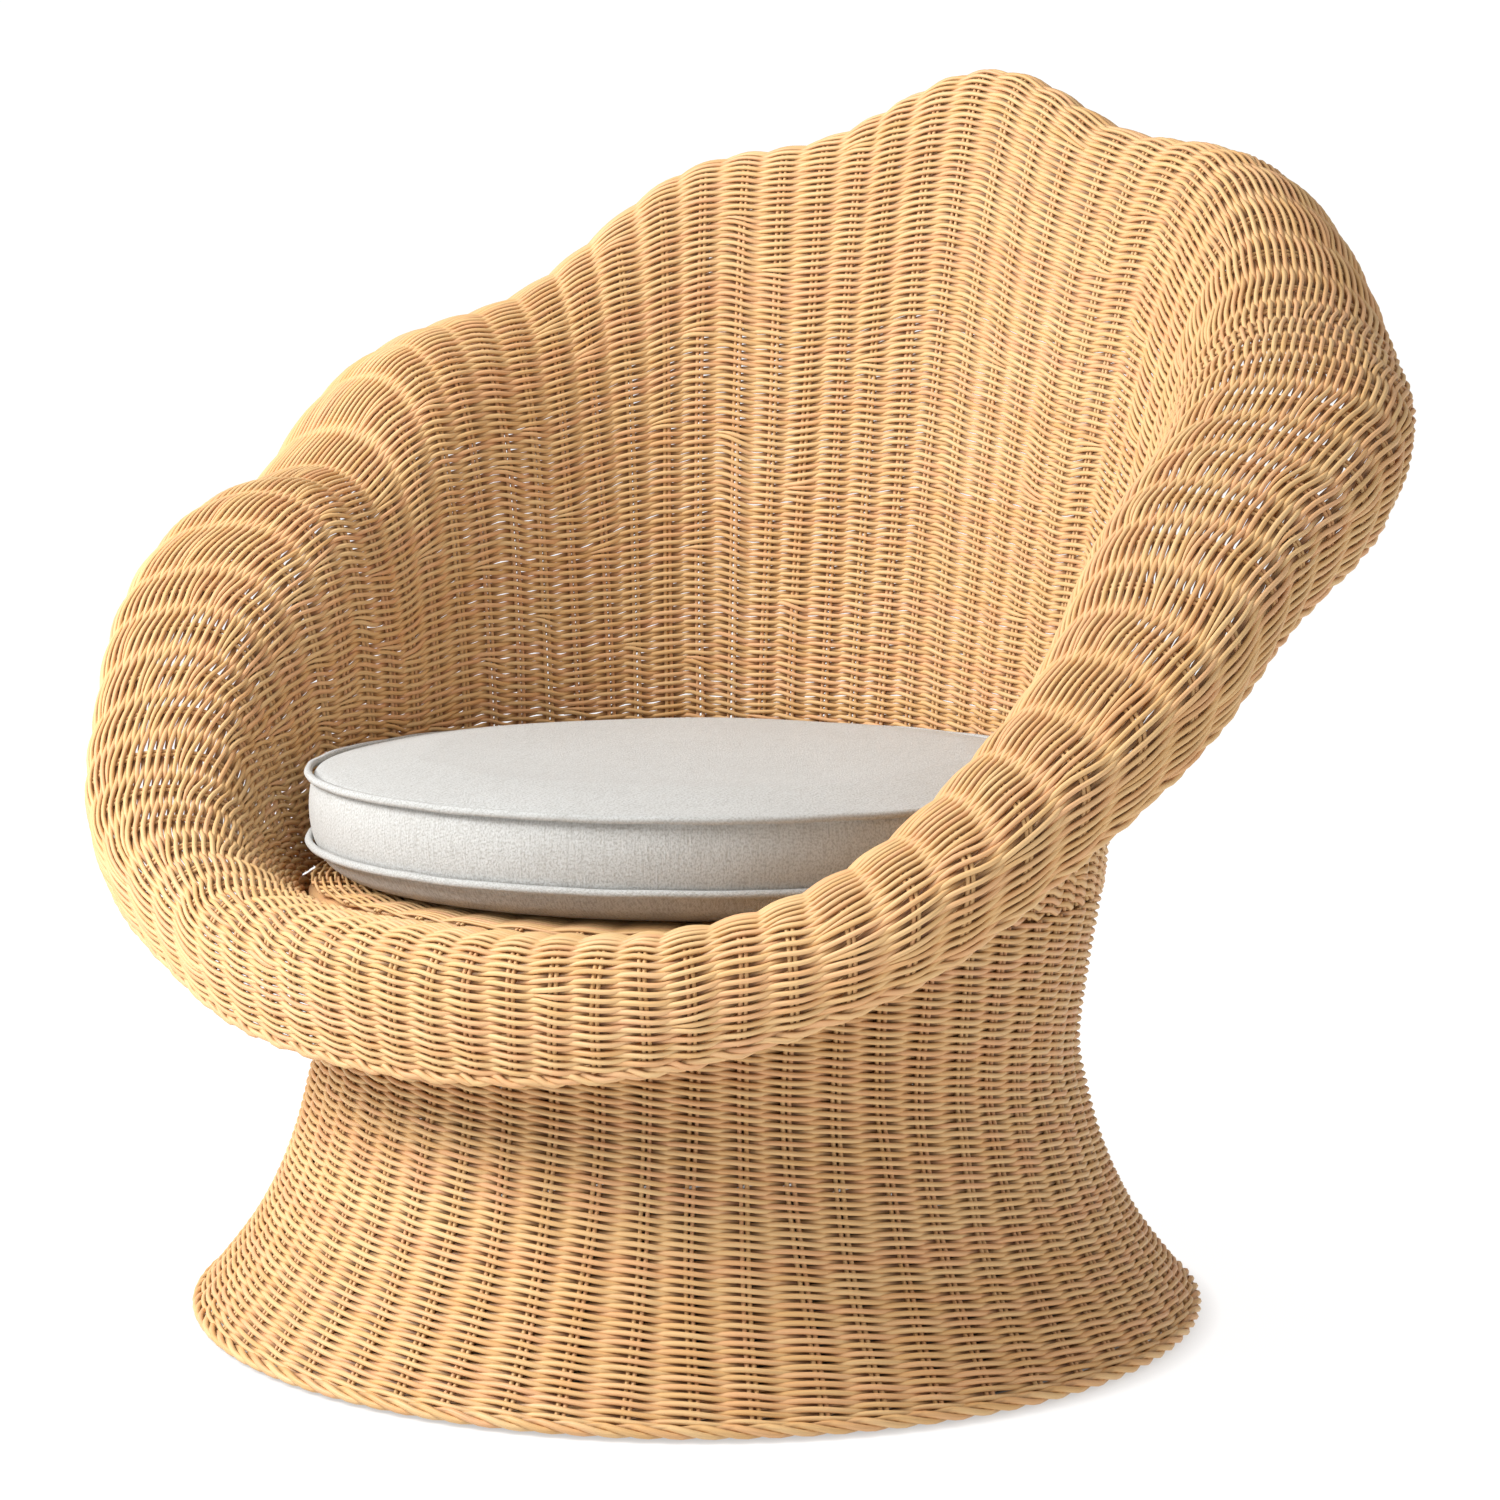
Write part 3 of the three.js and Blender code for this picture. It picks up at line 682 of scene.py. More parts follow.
# the last colour of each cane look is the dark of its fibres and also the painted shade in the weave
WEAVE_LOOK = cane_look("woven_rattan", (224, 188, 136), (214, 168, 110), (84, 34, 6))
POLE_LOOK = cane_look("rattan_pole", (214, 176, 124), (196, 150, 96), (128, 82, 42))
CLOTH_LOOK = cloth_look("cushion_cloth", (222, 223, 221), (148, 144, 136))
PIPING_LOOK = cloth_look("piping_cloth", (220, 221, 219), (152, 148, 140), 0)
TAPE_LOOK = cloth_look("zip_tape_cloth", (198, 195, 188), (148, 142, 132))
FOAM_LOOK = foam_look()
NYLON_LOOK = nylon_look()
NAIL_LOOK = metal_look("nail_steel", (190, 188, 184), (138, 134, 130), (300, 300, 2500))
ZIP_LOOK = metal_look("zip_metal", (200, 198, 192), (150, 147, 142), (900, 900, 900))


# ---------------------------------------------------------------- twined rows


class Weaver:
    """Makes one woven surface: its rows of twined strands and its stakes."""

    def __init__(self, sheet, name, node, gauge):
        self.sheet = sheet
        self.name = name
        self.node = node
        self.gauge = gauge
        self.bundle = Bundle()
        self.made = 0

    def strand(self, column, share, phase, drift):
        """The path and the depth of a strand that shows in front at every other column."""
        wave = math.pi * (column - phase)
        depth = np.cos(wave)
        across = np.where(depth > 0, np.sin(wave), np.tanh(3 * np.sin(wave)) / math.tanh(3))
        lean = self.gauge.slip * draws.uniform(0.85, 1.15)
        slip = self.sheet.facing * lean * across + drift
        path, normal = self.sheet.at(column, share, self.gauge.swing * depth, slip)
        return path, normal, depth

    def row(self, ticks, shares, reach=None):
        """Both strands of a row. It passes the given shares of the profile at so many columns
        from the middle of the back. It runs to a reach on both sides of that, or right round."""
        if reach is None:
            column = self.sheet.round_columns()
        else:
            end = reach + ROW_TAIL
            column = np.arange(int(2 * end * SAMPLES) + 1) / SAMPLES - end
        half = self.sheet.columns // 2
        away = np.abs((column + half) % self.sheet.columns - half)
        share = np.interp(away, ticks, shares)
        drift = self.drift(column)
        for phase in (0, 1):
            path, normal, depth = self.strand(column, share, phase, drift)
            radius = self.gauge.strand * draws.uniform(0.93, 1.06)
            radius = radius * (1 + BACK_SWELL * np.maximum(0, -depth))
            if reach is not None:
                left = end - np.abs(column)
                radius = radius * (0.4 + 0.6 * smooth_step(left / ROW_TAIL))
            self.bundle.add(path, normal, radius, reach is None, depth)
        if self.bundle.quads() > PIECE_QUADS:
            self.hand_over()

    def level_rows(self, count):
        """Rows right round the chair, in even steps along the profile."""
        for number in range(count):
            self.row([0], [(number + 0.5) / count])
        self.hand_over()

    def drift(self, column):
        """How far a row strays along the profile, which both of its strands do together."""
        source = np.random.default_rng(draws.integers(1 << 30))
        phase = TURN * column / self.sheet.columns
        waves = zip(source.integers(2, 15, 4), source.random(4), source.random(4))
        return sum(0.22 * MM * size * np.sin(wave * phase + TURN * start) for wave, start, size in waves)

    def hand_over(self):
        if self.bundle.tubes:
            self.made += 1
            self.keep(self.bundle, f"{self.name}_weave_{self.made}")
            self.bundle = Bundle()

    def keep(self, bundle, name):
        stand_for(bundle, name, self.node, "woven_rattan", WEAVE_LOOK)

    def stakes(self, step=8 * MM, ends=(0.0, 1.0)):
        """A pair of stakes up the middle of every column."""
        bundle = Bundle()
        for column in range(self.sheet.columns):
            length = self.sheet.length(column / self.sheet.columns)
            share = np.linspace(*ends, max(8, int(length / step)))
            on = np.full(len(share), float(column))
            path, normal = self.sheet.at(on, share)
            sideways, _ = self.sheet.at(on + 0.1, share)
            sideways = unit(sideways - path)
            for side in (-1, 1):
                bend = 0.25 * MM * np.sin(9 * share + 6 * draws.random())[:, None]
                line = path + sideways * (side * self.gauge.spread + bend)
                bundle.add(line, normal, self.gauge.stake * draws.uniform(0.92, 1.06))
        self.keep(bundle, f"{self.name}_stakes")


def twisted(path, normal, turns, reach, closed, strands=3):
    """Strands wound round a path, each with how far it stands to the front, from -1 to 1."""
    side = np.cross(way_along(path, closed), normal)
    for strand in range(strands):
        turn = TURN * (turns + strand / strands)
        rise = np.cos(turn)
        yield path + reach * (rise[:, None] * normal + np.sin(turn)[:, None] * side), rise


def border(name, node, path, normal, turns, reach, radius):
    """A closed border of twisted strands."""
    bundle = Bundle()
    for line, rise in twisted(path, normal, turns, reach, True):
        bundle.add(line, normal, radius * draws.uniform(0.95, 1.05), True, rise)
    stand_for(bundle, name, node, "woven_rattan", WEAVE_LOOK)


def van_der_corput(index):
    """A number from 0 to 1. Those of successive indexes spread evenly over that range."""
    value, part = 0.0, 0.5
    while index:
        value += part * (index & 1)
        index >>= 1
        part /= 2
    return value


def row_reaches(half):
    """How many columns each row of the shell runs to either side of the middle of the back.

    The wall is tall at the back and low at the front, so most rows are short. Their ends are
    spread evenly over the height of the wall."""
    plain = Sheet(lambda angle: shell_profile(angle, False), SHELL_COLUMNS, -1)
    turns = np.arange(half + 1) / SHELL_COLUMNS
    forward = (1 - np.cos(TURN * turns)) / 2
    wanted = plain.length(turns) / (BACK_ROW_PITCH + forward * (FRONT_ROW_PITCH - BACK_ROW_PITCH))
    wanted = np.minimum.accumulate(wanted)
    most = int(round(wanted[0]))
    priority = np.array([van_der_corput(i + 1) for i in range(most)])
    priority[[0, 1, -2, -1]] = 0
    reaches = np.array([np.flatnonzero(wanted / most >= share).max() for share in priority])
    reaches[priority * most < wanted[-1]] = half
    return reaches


def weave_shell():
    sheet = Sheet(shell_profile, SHELL_COLUMNS, -1)
    weaver = Weaver(sheet, "shell", "shell", SHELL_GAUGE)
    half = SHELL_COLUMNS // 2
    reaches = row_reaches(half)
    ticks = np.arange(0, half + 0.01, 0.25)  # columns from the middle of the back
    weight = smooth_step((reaches[:, None] + ROW_TAIL - ticks) / ROW_TAPER)
    weight[reaches >= half] = 1
    ended = np.cumsum(weight, 0)
    shares = (ended - weight / 2) / ended[-1]
    for row, reach in zip(shares, reaches):
        weaver.row(ticks, row, None if reach >= half else reach)
    weaver.hand_over()
    weaver.stakes()
    column = sheet.round_columns()
    edge, normal = sheet.at(column, np.ones(len(column)))
    before, _ = sheet.at(column, np.full(len(column), 0.97))
    sag = LIP_SAG + LIP_SAG_SWING * np.cos(TURN * column)
    path = edge + unit(edge - before) * sag[:, None]
    border("lip_border_twist", "lip_border", path, normal, column / LIP_TWIST, LIP_REACH, LIP_STRAND)


def weave_base():
    sheet = Sheet(skirt_profile, BASE_COLUMNS, 1)
    weaver = Weaver(sheet, "base", "base_skirt", BASE_GAUGE)
    weaver.level_rows(int(round(sheet.lengths[0] / BASE_ROW_PITCH)))
    weaver.stakes()
    column = sheet.round_columns()
    low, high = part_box("base_hem")
    radius = (high.x - low.x) / 2 - HEM_INSET
    path, normal = flat_ring(TURN * column / BASE_COLUMNS, radius, middle("base_hem").z)
    border("base_hem_twist", "base_hem", path, normal, column / HEM_TWIST, HEM_REACH, HEM_STRAND)


def weave_collar():
    """A braid round the back of the base, just under the feet of the stays."""
    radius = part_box("collar_braid")[1].y - AXIS_Y - COLLAR_BRAID / 2
    angle = np.linspace(-COLLAR_REACH, COLLAR_REACH, 240)
    path, normal = flat_ring(angle, radius, middle("collar_braid").z)
    bundle = Bundle()
    for line, rise in twisted(path, normal, angle * radius / COLLAR_PITCH, COLLAR_SPREAD, False):
        bundle.add(line, normal, COLLAR_STRAND, False, rise)
    stand_for(bundle, "collar_braid_twist", "collar_braid", "woven_rattan", WEAVE_LOOK)


def weave_deck():
    sheet = Sheet(deck_profile, DECK_COLUMNS, -1)
    weaver = Weaver(sheet, "deck", "seat_deck", DECK_GAUGE)
    weaver.level_rows(int(sheet.lengths[0] / DECK_ROW_PITCH))
    weaver.stakes(12 * MM, (-0.06, 1.0))


# ---------------------------------------------------------------- poles of the frame


def stand_for(bundle, name, node, slot, material, body="frame"):
    """Makes a piece out of tubes that stands for a CAD node."""
    hand_in(bundle.build(name, material), body, slot, node)


def make_pole(node, path, radius, closed=False):
    """A smooth rattan pole with the slight swellings of its old leaf joints."""
    start = draws.random() * KNOT_GAP
    away = np.abs((run_of(path) - start + KNOT_GAP / 2) % KNOT_GAP - KNOT_GAP / 2)
    swell = 1 + 0.05 * np.exp(-((away / (5 * MM)) ** 2))
    along = way_along(path, closed)
    reference = np.array([0.0, 0.0, 1.0])
    if np.abs(along @ reference).max() > 0.9:
        reference = np.array([0.6, -0.8, 0.0])
    normal = unit(np.cross(np.cross(along, reference), along))
    bundle = Bundle()
    bundle.add(path, normal, radius * swell * 0.985, closed)
    stand_for(bundle, node + "_cane", node, "rattan_pole", POLE_LOOK)


def ring_of(node):
    """The radius and height of the middle of a flat ring, and the radius of its bar."""
    low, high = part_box(node)
    bar = (high.z - low.z) / 2
    return spot((high.x - low.x) / 2 - bar, (low.z + high.z) / 2), bar


def make_rings(steps=180):
    angle = TURN * np.arange(steps) / steps
    for node in ("floor_ring", "waist_ring", "seat_ring"):
        (radius, height), bar = ring_of(node)
        path, _ = flat_ring(angle, radius, height)
        make_pole(node, path, bar, True)


def toward(start, end, distance):
    """The point a distance from one point towards another."""
    way = end - start
    return start + way / np.linalg.norm(way) * distance


def inside_roll(curve, share, depth):
    """The radius and height of a point a distance inside the roll, at a share of a curve."""
    on = bezier(curve, share)
    ahead = bezier(curve, share + 1e-3) - bezier(curve, share - 1e-3)
    ahead = ahead / np.linalg.norm(ahead)
    return on + np.array([ahead[1], -ahead[0]]) * depth


def make_hoops(steps=480):
    angles = TURN * np.arange(steps) / steps
    for name, curve, share, depth, pole in (
        ("rim_hoop", 1, RIM_SHARE, RIM_DEPTH, RIM_POLE),
        ("lip_hoop", 2, 0.85, LIP_DEPTH, LIP_POLE),
    ):
        line = np.array([inside_roll(shell_curves(angle)[curve], share, depth) for angle in angles])
        make_pole(name, place(angles, line[:, 0], line[:, 1]), pole / 2, True)


def smooth_path(points, steps):
    """A smooth line through points, in even steps."""
    ends = np.concatenate([2 * points[:1] - points[1:2], points, 2 * points[-1:] - points[-2:-1]])
    return evenly(catmull_rom(ends, 12), steps)


def upright_path(line, angle, steps=60):
    """A smooth path through radii and heights at one angle round the chair."""
    points = place(np.full(len(line), angle), line[:, 0], line[:, 1])
    return smooth_path(points, steps)


def make_stays():
    low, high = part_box("collar_braid")
    foot = spot(high.y - AXIS_Y - COLLAR_BRAID / 2 + 1 * MM, high.z + STAY_LIFT)
    for number, degrees in enumerate(STAY_ANGLES, 1):
        angle = math.radians(degrees)
        wall, over, _ = shell_curves(angle)
        line = [foot, *(inside_roll(wall, share, STAY_DEPTH) for share in (0.2, 0.4, 0.6, 0.78))]
        hoop = inside_roll(over, RIM_SHARE, RIM_DEPTH)
        line.append(toward(hoop, line[-1], (RIM_POLE + STAY_POLE) / 2))
        make_pole(f"back_stay_{number}", upright_path(np.array(line), angle), STAY_POLE / 2)


def make_posts():
    foot, foot_bar = ring_of("floor_ring")
    head, head_bar = ring_of("seat_ring")
    skirt = skirt_profile()
    bends = np.stack([np.interp(POST_BENDS, skirt[:, 1], skirt[:, 0]) - POST_DEPTH, POST_BENDS], 1)
    first = toward(foot, bends[0], foot_bar - 1 * MM)
    last = toward(head, bends[-1], head_bar - 1 * MM)
    line = np.concatenate([[first], bends, [last]])
    for number in range(1, POSTS + 1):
        path = upright_path(line, TURN * (number - 0.5) / POSTS)
        make_pole(f"post_{number}", path, POST_POLE / 2)
        make_binding(f"post_binding_{number}", path)


def make_binding(node, path, turns=6, steps=20, strand=1.9 * MM):
    """Cane wound round the top of a post, under the seat ring."""
    top, below = path[-1], path[-12]
    way = unit(below - top)
    across = unit(np.cross(way, [0.3, 0.5, 0.8]))
    over = np.cross(way, across)
    angle = TURN * np.arange(turns * steps + 1) / steps
    out = np.cos(angle)[:, None] * across + np.sin(angle)[:, None] * over
    along = np.linspace(3 * MM, 25 * MM, len(angle))
    centre = top + way * along[:, None]
    bundle = Bundle()
    bundle.add(centre + out * (POST_POLE / 2 + strand), out, strand)
    stand_for(bundle, node + "_cane", node, "woven_rattan", WEAVE_LOOK)


def make_rails(steps=60):
    for number in range(1, SEAT_RAILS + 1):
        node = f"seat_rail_{number}"
        low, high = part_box(node)
        centre = (low + high) / 2
        reach = np.linspace(low.x + 5 * MM, high.x - 5 * MM, steps)
        path = np.stack([reach, np.full(steps, centre.y), np.full(steps, centre.z)], 1)
        make_pole(node, path, (high.z - low.z) / 2)


# ---------------------------------------------------------------- cushion

PIPING_RADIUS = 3.5 * MM
VOXEL = 5.5 * MM
INFLATE_CAP = 11 * MM
SEAM_GRIP = 6 * MM  # how close to a seam the cloth is held by its stitches
MOST_BULGE = 7 * MM  # how far the boxing may stand out past the seams
PUCKER = 0.35 * MM
CLOTH_STEPS = 20


def seam_circle(node):
    """The radius and height of the middle of a ring of piping."""
    low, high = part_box(node)
    return (high.x - low.x) / 2 - PIPING_RADIUS, (low.z + high.z) / 2


SEAM_RADIUS_TOP, HIGH_SEAM = seam_circle("cushion_piping_top")
SEAM_RADIUS_LOW, LOW_SEAM = seam_circle("cushion_piping_bottom")
CUSHION_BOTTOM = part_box("cushion_cover_bottom")[0].z
CUSHION_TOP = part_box("cushion_cover_top")[1].z
COVER_EDGE = SEAM_RADIUS_TOP - PIPING_RADIUS  # the cover's radius at its seams


def cushion_outline():
    """Half of the cushion's section, from the middle of its bottom round to the middle of its top."""
    edge = COVER_EDGE
    foot = LOW_SEAM - CUSHION_BOTTOM
    crown = CUSHION_TOP - HIGH_SEAM
    gap = HIGH_SEAM - LOW_SEAM
    return np.array([
        [0, CUSHION_BOTTOM],
        [0.5 * edge, CUSHION_BOTTOM],
        [0.87 * edge, CUSHION_BOTTOM],
        [0.93 * edge, CUSHION_BOTTOM + 0.12 * foot],
        [0.972 * edge, CUSHION_BOTTOM + 0.45 * foot],
        [edge - 1 * MM, LOW_SEAM],
        [edge + 2 * MM, LOW_SEAM + 0.2 * gap],
        [edge + 3.5 * MM, LOW_SEAM + 0.5 * gap],
        [edge + 2 * MM, LOW_SEAM + 0.8 * gap],
        [edge - 1 * MM, HIGH_SEAM],
        [0.982 * edge, HIGH_SEAM + 0.28 * crown],
        [0.93 * edge, HIGH_SEAM + 0.58 * crown],
        [0.8 * edge, HIGH_SEAM + 0.78 * crown],
        [0.5 * edge, HIGH_SEAM + 0.88 * crown],
        [0, HIGH_SEAM + 0.92 * crown],
    ])


def turned_mesh(name, outline, sides=120):
    """A closed solid of revolution whose outline starts and ends on the axis."""
    angle = TURN * np.arange(sides) / sides
    ring = outline[1:-1]
    spots = place(angle[:, None], ring[None, :, 0], ring[None, :, 1]).reshape(-1, 3)
    count = len(ring)
    poles = np.array([[0, AXIS_Y, outline[0, 1]], [0, AXIS_Y, outline[-1, 1]]])
    mesh = bpy.data.meshes.new(name)
    faces = []
    low, high = len(spots), len(spots) + 1
    for side in range(sides):
        here, beside = side * count, (side + 1) % sides * count
        faces.append((low, here, beside))
        for k in range(count - 1):
            faces.append((here + k, here + k + 1, beside + k + 1, beside + k))
        faces.append((high, beside + count - 1, here + count - 1))
    mesh.from_pydata(np.concatenate([spots, poles]).tolist(), [], faces)
    mesh.update()
    return mesh


def spots_of(mesh):
    return read(mesh.vertices, "co", 3).astype(float)


def set_spots(mesh, spots):
    mesh.vertices.foreach_set("co", spots.astype(np.float32).ravel())
    mesh.update()


def apply_modifiers(piece):
    graph = bpy.context.evaluated_depsgraph_get()
    mesh = bpy.data.meshes.new_from_object(piece.evaluated_get(graph))
    piece.modifiers.clear()
    piece.data = mesh


def in_section(spots):
    """The angle of each spot round the chair's axis, and its distance from that axis."""
    return np.arctan2(spots[:, 0], spots[:, 1] - AXIS_Y), np.hypot(spots[:, 0], spots[:, 1] - AXIS_Y)


def seam_distance(spots):
    """How far each spot lies from the nearer seam, in its own section."""
    _, radius = in_section(spots)
    return np.minimum(np.hypot(radius - COVER_EDGE, spots[:, 2] - LOW_SEAM),
                      np.hypot(radius - COVER_EDGE, spots[:, 2] - HIGH_SEAM))


def inflate(piece):
    """Blows the cover up as cloth, held at its seams and where it rests, and caps how far it moves."""
    before = spots_of(piece.data)
    held = piece.vertex_groups.new(name="seams")
    sewn = seam_distance(before) < SEAM_GRIP
    resting = before[:, 2] < LOW_SEAM
    held.add(np.flatnonzero(sewn | resting).tolist(), 1.0, "REPLACE")
    cloth = piece.modifiers.new("fill", "CLOTH")
    settings = cloth.settings
    settings.quality = 5
    settings.mass = 0.3
    settings.tension_stiffness = 18
    settings.compression_stiffness = 18
    settings.shear_stiffness = 8
    settings.bending_stiffness = 0.6
    settings.use_pressure = True
    settings.uniform_pressure_force = 4
    settings.vertex_group_mass = held.name
    settings.effector_weights.gravity = 0
    cloth.collision_settings.use_self_collision = False
    scene = bpy.context.scene
    for step in range(1, CLOTH_STEPS + 1):
        scene.frame_set(step)
    apply_modifiers(piece)
    scene.frame_set(1)
    piece.vertex_groups.clear()
    moved = spots_of(piece.data) - before
    far = np.linalg.norm(moved, axis=1, keepdims=True)
    moved *= np.minimum(1, INFLATE_CAP / np.maximum(far, 1e-9))
    set_spots(piece.data, before + moved)


def ripples(angle, height):
    """Soft puckers of the boxing and slow waves of the panels, as a distance outwards."""
    waves = np.random.default_rng(11)
    total = np.zeros_like(angle)
    for count in (9, 14, 23, 31, 47):
        start, slant = waves.random() * TURN, waves.uniform(-30, 30)
        total += np.sin(count * angle + start + slant * height) / count**0.5
    return total


def shape_cushion(mesh):
    """The last touches: flat where it rests, drawn in along the seams, with small puckers."""
    spots = spots_of(mesh)
    angle, radius = in_section(spots)
    near = np.exp(-((seam_distance(spots) / (9 * MM)) ** 2))
    side = smooth_step((radius - 0.9 * COVER_EDGE) / (0.1 * COVER_EDGE))
    out = np.minimum(radius, COVER_EDGE + MOST_BULGE)
    height = spots[:, 2]
    out = out - side * (1 - near) * PUCKER * ripples(angle, height)
    top = smooth_step((height - HIGH_SEAM) / (6 * MM))
    x, y = out * np.sin(angle), AXIS_Y + out * np.cos(angle)
    wave = np.sin(23 * x + 1) * np.sin(19 * y + 2) + 0.5 * np.sin(41 * x - 33 * y)
    height = np.clip(height + top * wave * 0.7 * MM, CUSHION_BOTTOM, CUSHION_TOP + 2 * MM)
    set_spots(mesh, np.stack([x, y, height], 1))


def unwrap(mesh):
    """A UV map of the top panel, the bottom panel, and the boxing cut into four strips."""
    sizes = read(mesh.polygons, "loop_total", 1, np.int32)[:, 0]
    face = np.repeat(np.arange(len(sizes)), sizes)
    centre = read(mesh.polygons, "center", 3)[face]
    at = spots_of(mesh)[read(mesh.loops, "vertex_index", 1, np.int32)[:, 0]]
    reach = SEAM_RADIUS_TOP + 2 * MM
    panel = 0.01 + 0.48 * ((at[:, :2] - [0, AXIS_Y]) / (2 * reach) + 0.5)
    angle, _ = in_section(at)
    centre_angle, _ = in_section(centre)
    angle = centre_angle + (angle - centre_angle + math.pi) % TURN - math.pi
    lap = (angle / TURN + 0.5) * 4
    lane = np.clip(np.floor((centre_angle / TURN + 0.5) * 4), 0, 3)
    tall = (at[:, 2] - LOW_SEAM) / (HIGH_SEAM - LOW_SEAM)
    strip = np.stack([0.01 + 0.96 * (lap - lane), 0.04 + 0.11 * lane + 0.08 * tall], 1)
    is_top, is_bottom = centre[:, 2:] > HIGH_SEAM, centre[:, 2:] < LOW_SEAM
    uv = np.where(is_top, panel + [0, 0.5], np.where(is_bottom, panel + [0.5, 0.5], strip))
    layer = mesh.uv_layers.new(name="OFBake")
    layer.uv.foreach_set("vector", uv.astype(np.float32).ravel())


def lay_cloth(mesh):
    """Where in its flat cloth each point of the cover was cut from, in metres."""
    spots = spots_of(mesh)
    angle = np.arctan2(-spots[:, 0], AXIS_Y - spots[:, 1])  # the strip's ends meet behind, at the zip
    flat = np.zeros(len(spots))
    boxing = (spots[:, 2] < HIGH_SEAM) & (spots[:, 2] > LOW_SEAM)
    along_strip = np.stack([angle * SEAM_RADIUS_TOP, spots[:, 2], flat], 1)
    across_panel = np.stack([spots[:, 0], spots[:, 1], flat], 1)
    give(mesh, "cloth", "FLOAT_VECTOR", np.where(boxing[:, None], along_strip, across_panel))


def make_cover():
    """The cushion's cover: remeshed, blown up as cloth, and smoothed."""
    piece = show("cushion_cover", turned_mesh("cushion_cover", cushion_outline()), CLOTH_LOOK)
    remesh = piece.modifiers.new("even", "REMESH")
    remesh.mode = "VOXEL"
    remesh.voxel_size = VOXEL
    apply_modifiers(piece)
    inflate(piece)
    smooth = piece.modifiers.new("smooth", "SMOOTH")
    smooth.iterations = 2
    fine = piece.modifiers.new("fine", "SUBSURF")
    fine.levels = 1
    fine.render_levels = 1
    apply_modifiers(piece)
    mesh = piece.data
    shape_cushion(mesh)
    mesh.materials.clear()
    mesh.materials.append(CLOTH_LOOK)
    mesh.polygons.foreach_set("use_smooth", np.ones(len(mesh.polygons), bool))
    unwrap(mesh)
    lay_cloth(mesh)
    hand_in(piece, "cushion", "cushion_cloth", "cushion_cover_top", "cushion_cover_bottom", "cushion_boxing")


def make_piping(node, radius, height, steps=480):
    """A cord in a folded strip of cloth, sewn into a seam."""
    angle = TURN * np.arange(steps) / steps
    waver = 0.25 * MM * np.sin(17 * angle + 1) + 0.2 * MM * np.sin(29 * angle)
    path = place(angle, radius + waver, height + 0.8 * waver)
    normal = unit(path - place(angle, np.zeros(steps), np.full(steps, height)))
    bundle = Bundle()
    bundle.add(path, normal, PIPING_RADIUS * 0.97, True)
    piece = bundle.build(node + "_cord", PIPING_LOOK)
    cane = read(piece.data.attributes["cane"].data, "vector", 3)
    turn = np.arctan2(cane[:, 2], cane[:, 1]) * PIPING_RADIUS
    slant = np.stack([cane[:, 0] + turn, cane[:, 0] - turn, 0 * turn], 1) * 0.7
    give(piece.data, "cloth", "FLOAT_VECTOR", slant)
    hand_in(piece, "cushion", "piping_cloth", node)


# ---------------------------------------------------------------- zip


def tape_strip(radius, low, high, half, thickness=0.9 * MM, steps=90):
    """A strip of tape bent round the cushion, slightly wavy: its points and its faces."""
    angle = np.linspace(-half, half, steps)
    waver = 0.25 * MM * np.sin(40 * angle)
    out = thickness / 2
    section = ((out, low), (out, high), (-out, high), (-out, low))
    spots = [place(angle, radius + side + waver, np.full(steps, height)) for side, height in section]
    here = np.arange(steps - 1)[:, None] * 4 + np.arange(4)
    beside = np.arange(steps - 1)[:, None] * 4 + (np.arange(4) + 1) % 4
    faces = np.stack([here, here + 4, beside + 4, beside], -1).reshape(-1, 4)
    last = 4 * steps - 1
    ends = [[0, 1, 2, 3], [last, last - 1, last - 2, last - 3]]
    return np.stack(spots, 1).reshape(-1, 3), np.concatenate([faces, ends]), np.repeat(angle, 4)


def make_zip():
    """Two tapes with a coil of teeth between them."""
    low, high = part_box("zip_tape")
    radius = high.y - AXIS_Y - 0.5 * MM
    half = math.asin(high.x / radius)
    centre = (low.z + high.z) / 2
    lower_spots, lower_faces, angle = tape_strip(radius, low.z, centre - 1 * MM, half)
    upper_spots, upper_faces, _ = tape_strip(radius, centre + 1 * MM, high.z, half)
    spots = np.concatenate([lower_spots, upper_spots])
    faces = np.concatenate([lower_faces, upper_faces + len(lower_spots)])
    run = np.tile(angle, 2) * radius
    uv = np.stack([(run / radius / half / 2 + 0.5) * 0.98, (spots[:, 2] - low.z) / (high.z - low.z)], 1)
    mesh = mesh_from("zip_tapes", spots, faces, uv[faces.ravel()])
    give(mesh, "cloth", "FLOAT_VECTOR", np.stack([run, spots[:, 2], 0 * run], 1))
    hand_in(show("zip_tapes", mesh, TAPE_LOOK), "cushion", "zip_tape", "zip_tape")
    make_teeth(radius, centre, half)


def make_teeth(radius, height, half, pitch=1.6 * MM, samples=6):
    turns = int(2 * half * radius / pitch)
    angle = np.linspace(-half, half, turns * samples)
    turn = TURN * np.arange(len(angle)) / samples
    path = place(angle, radius + 0.5 * MM + 0.45 * MM * np.cos(turn), height + 1.3 * MM * np.sin(turn))
    coil = Bundle()
    coil.add(path, unit(path - place(angle, 0 * angle, height)), 0.42 * MM)
    hand_in(coil.build("zip_teeth", ZIP_LOOK), "cushion", "zip_metal")


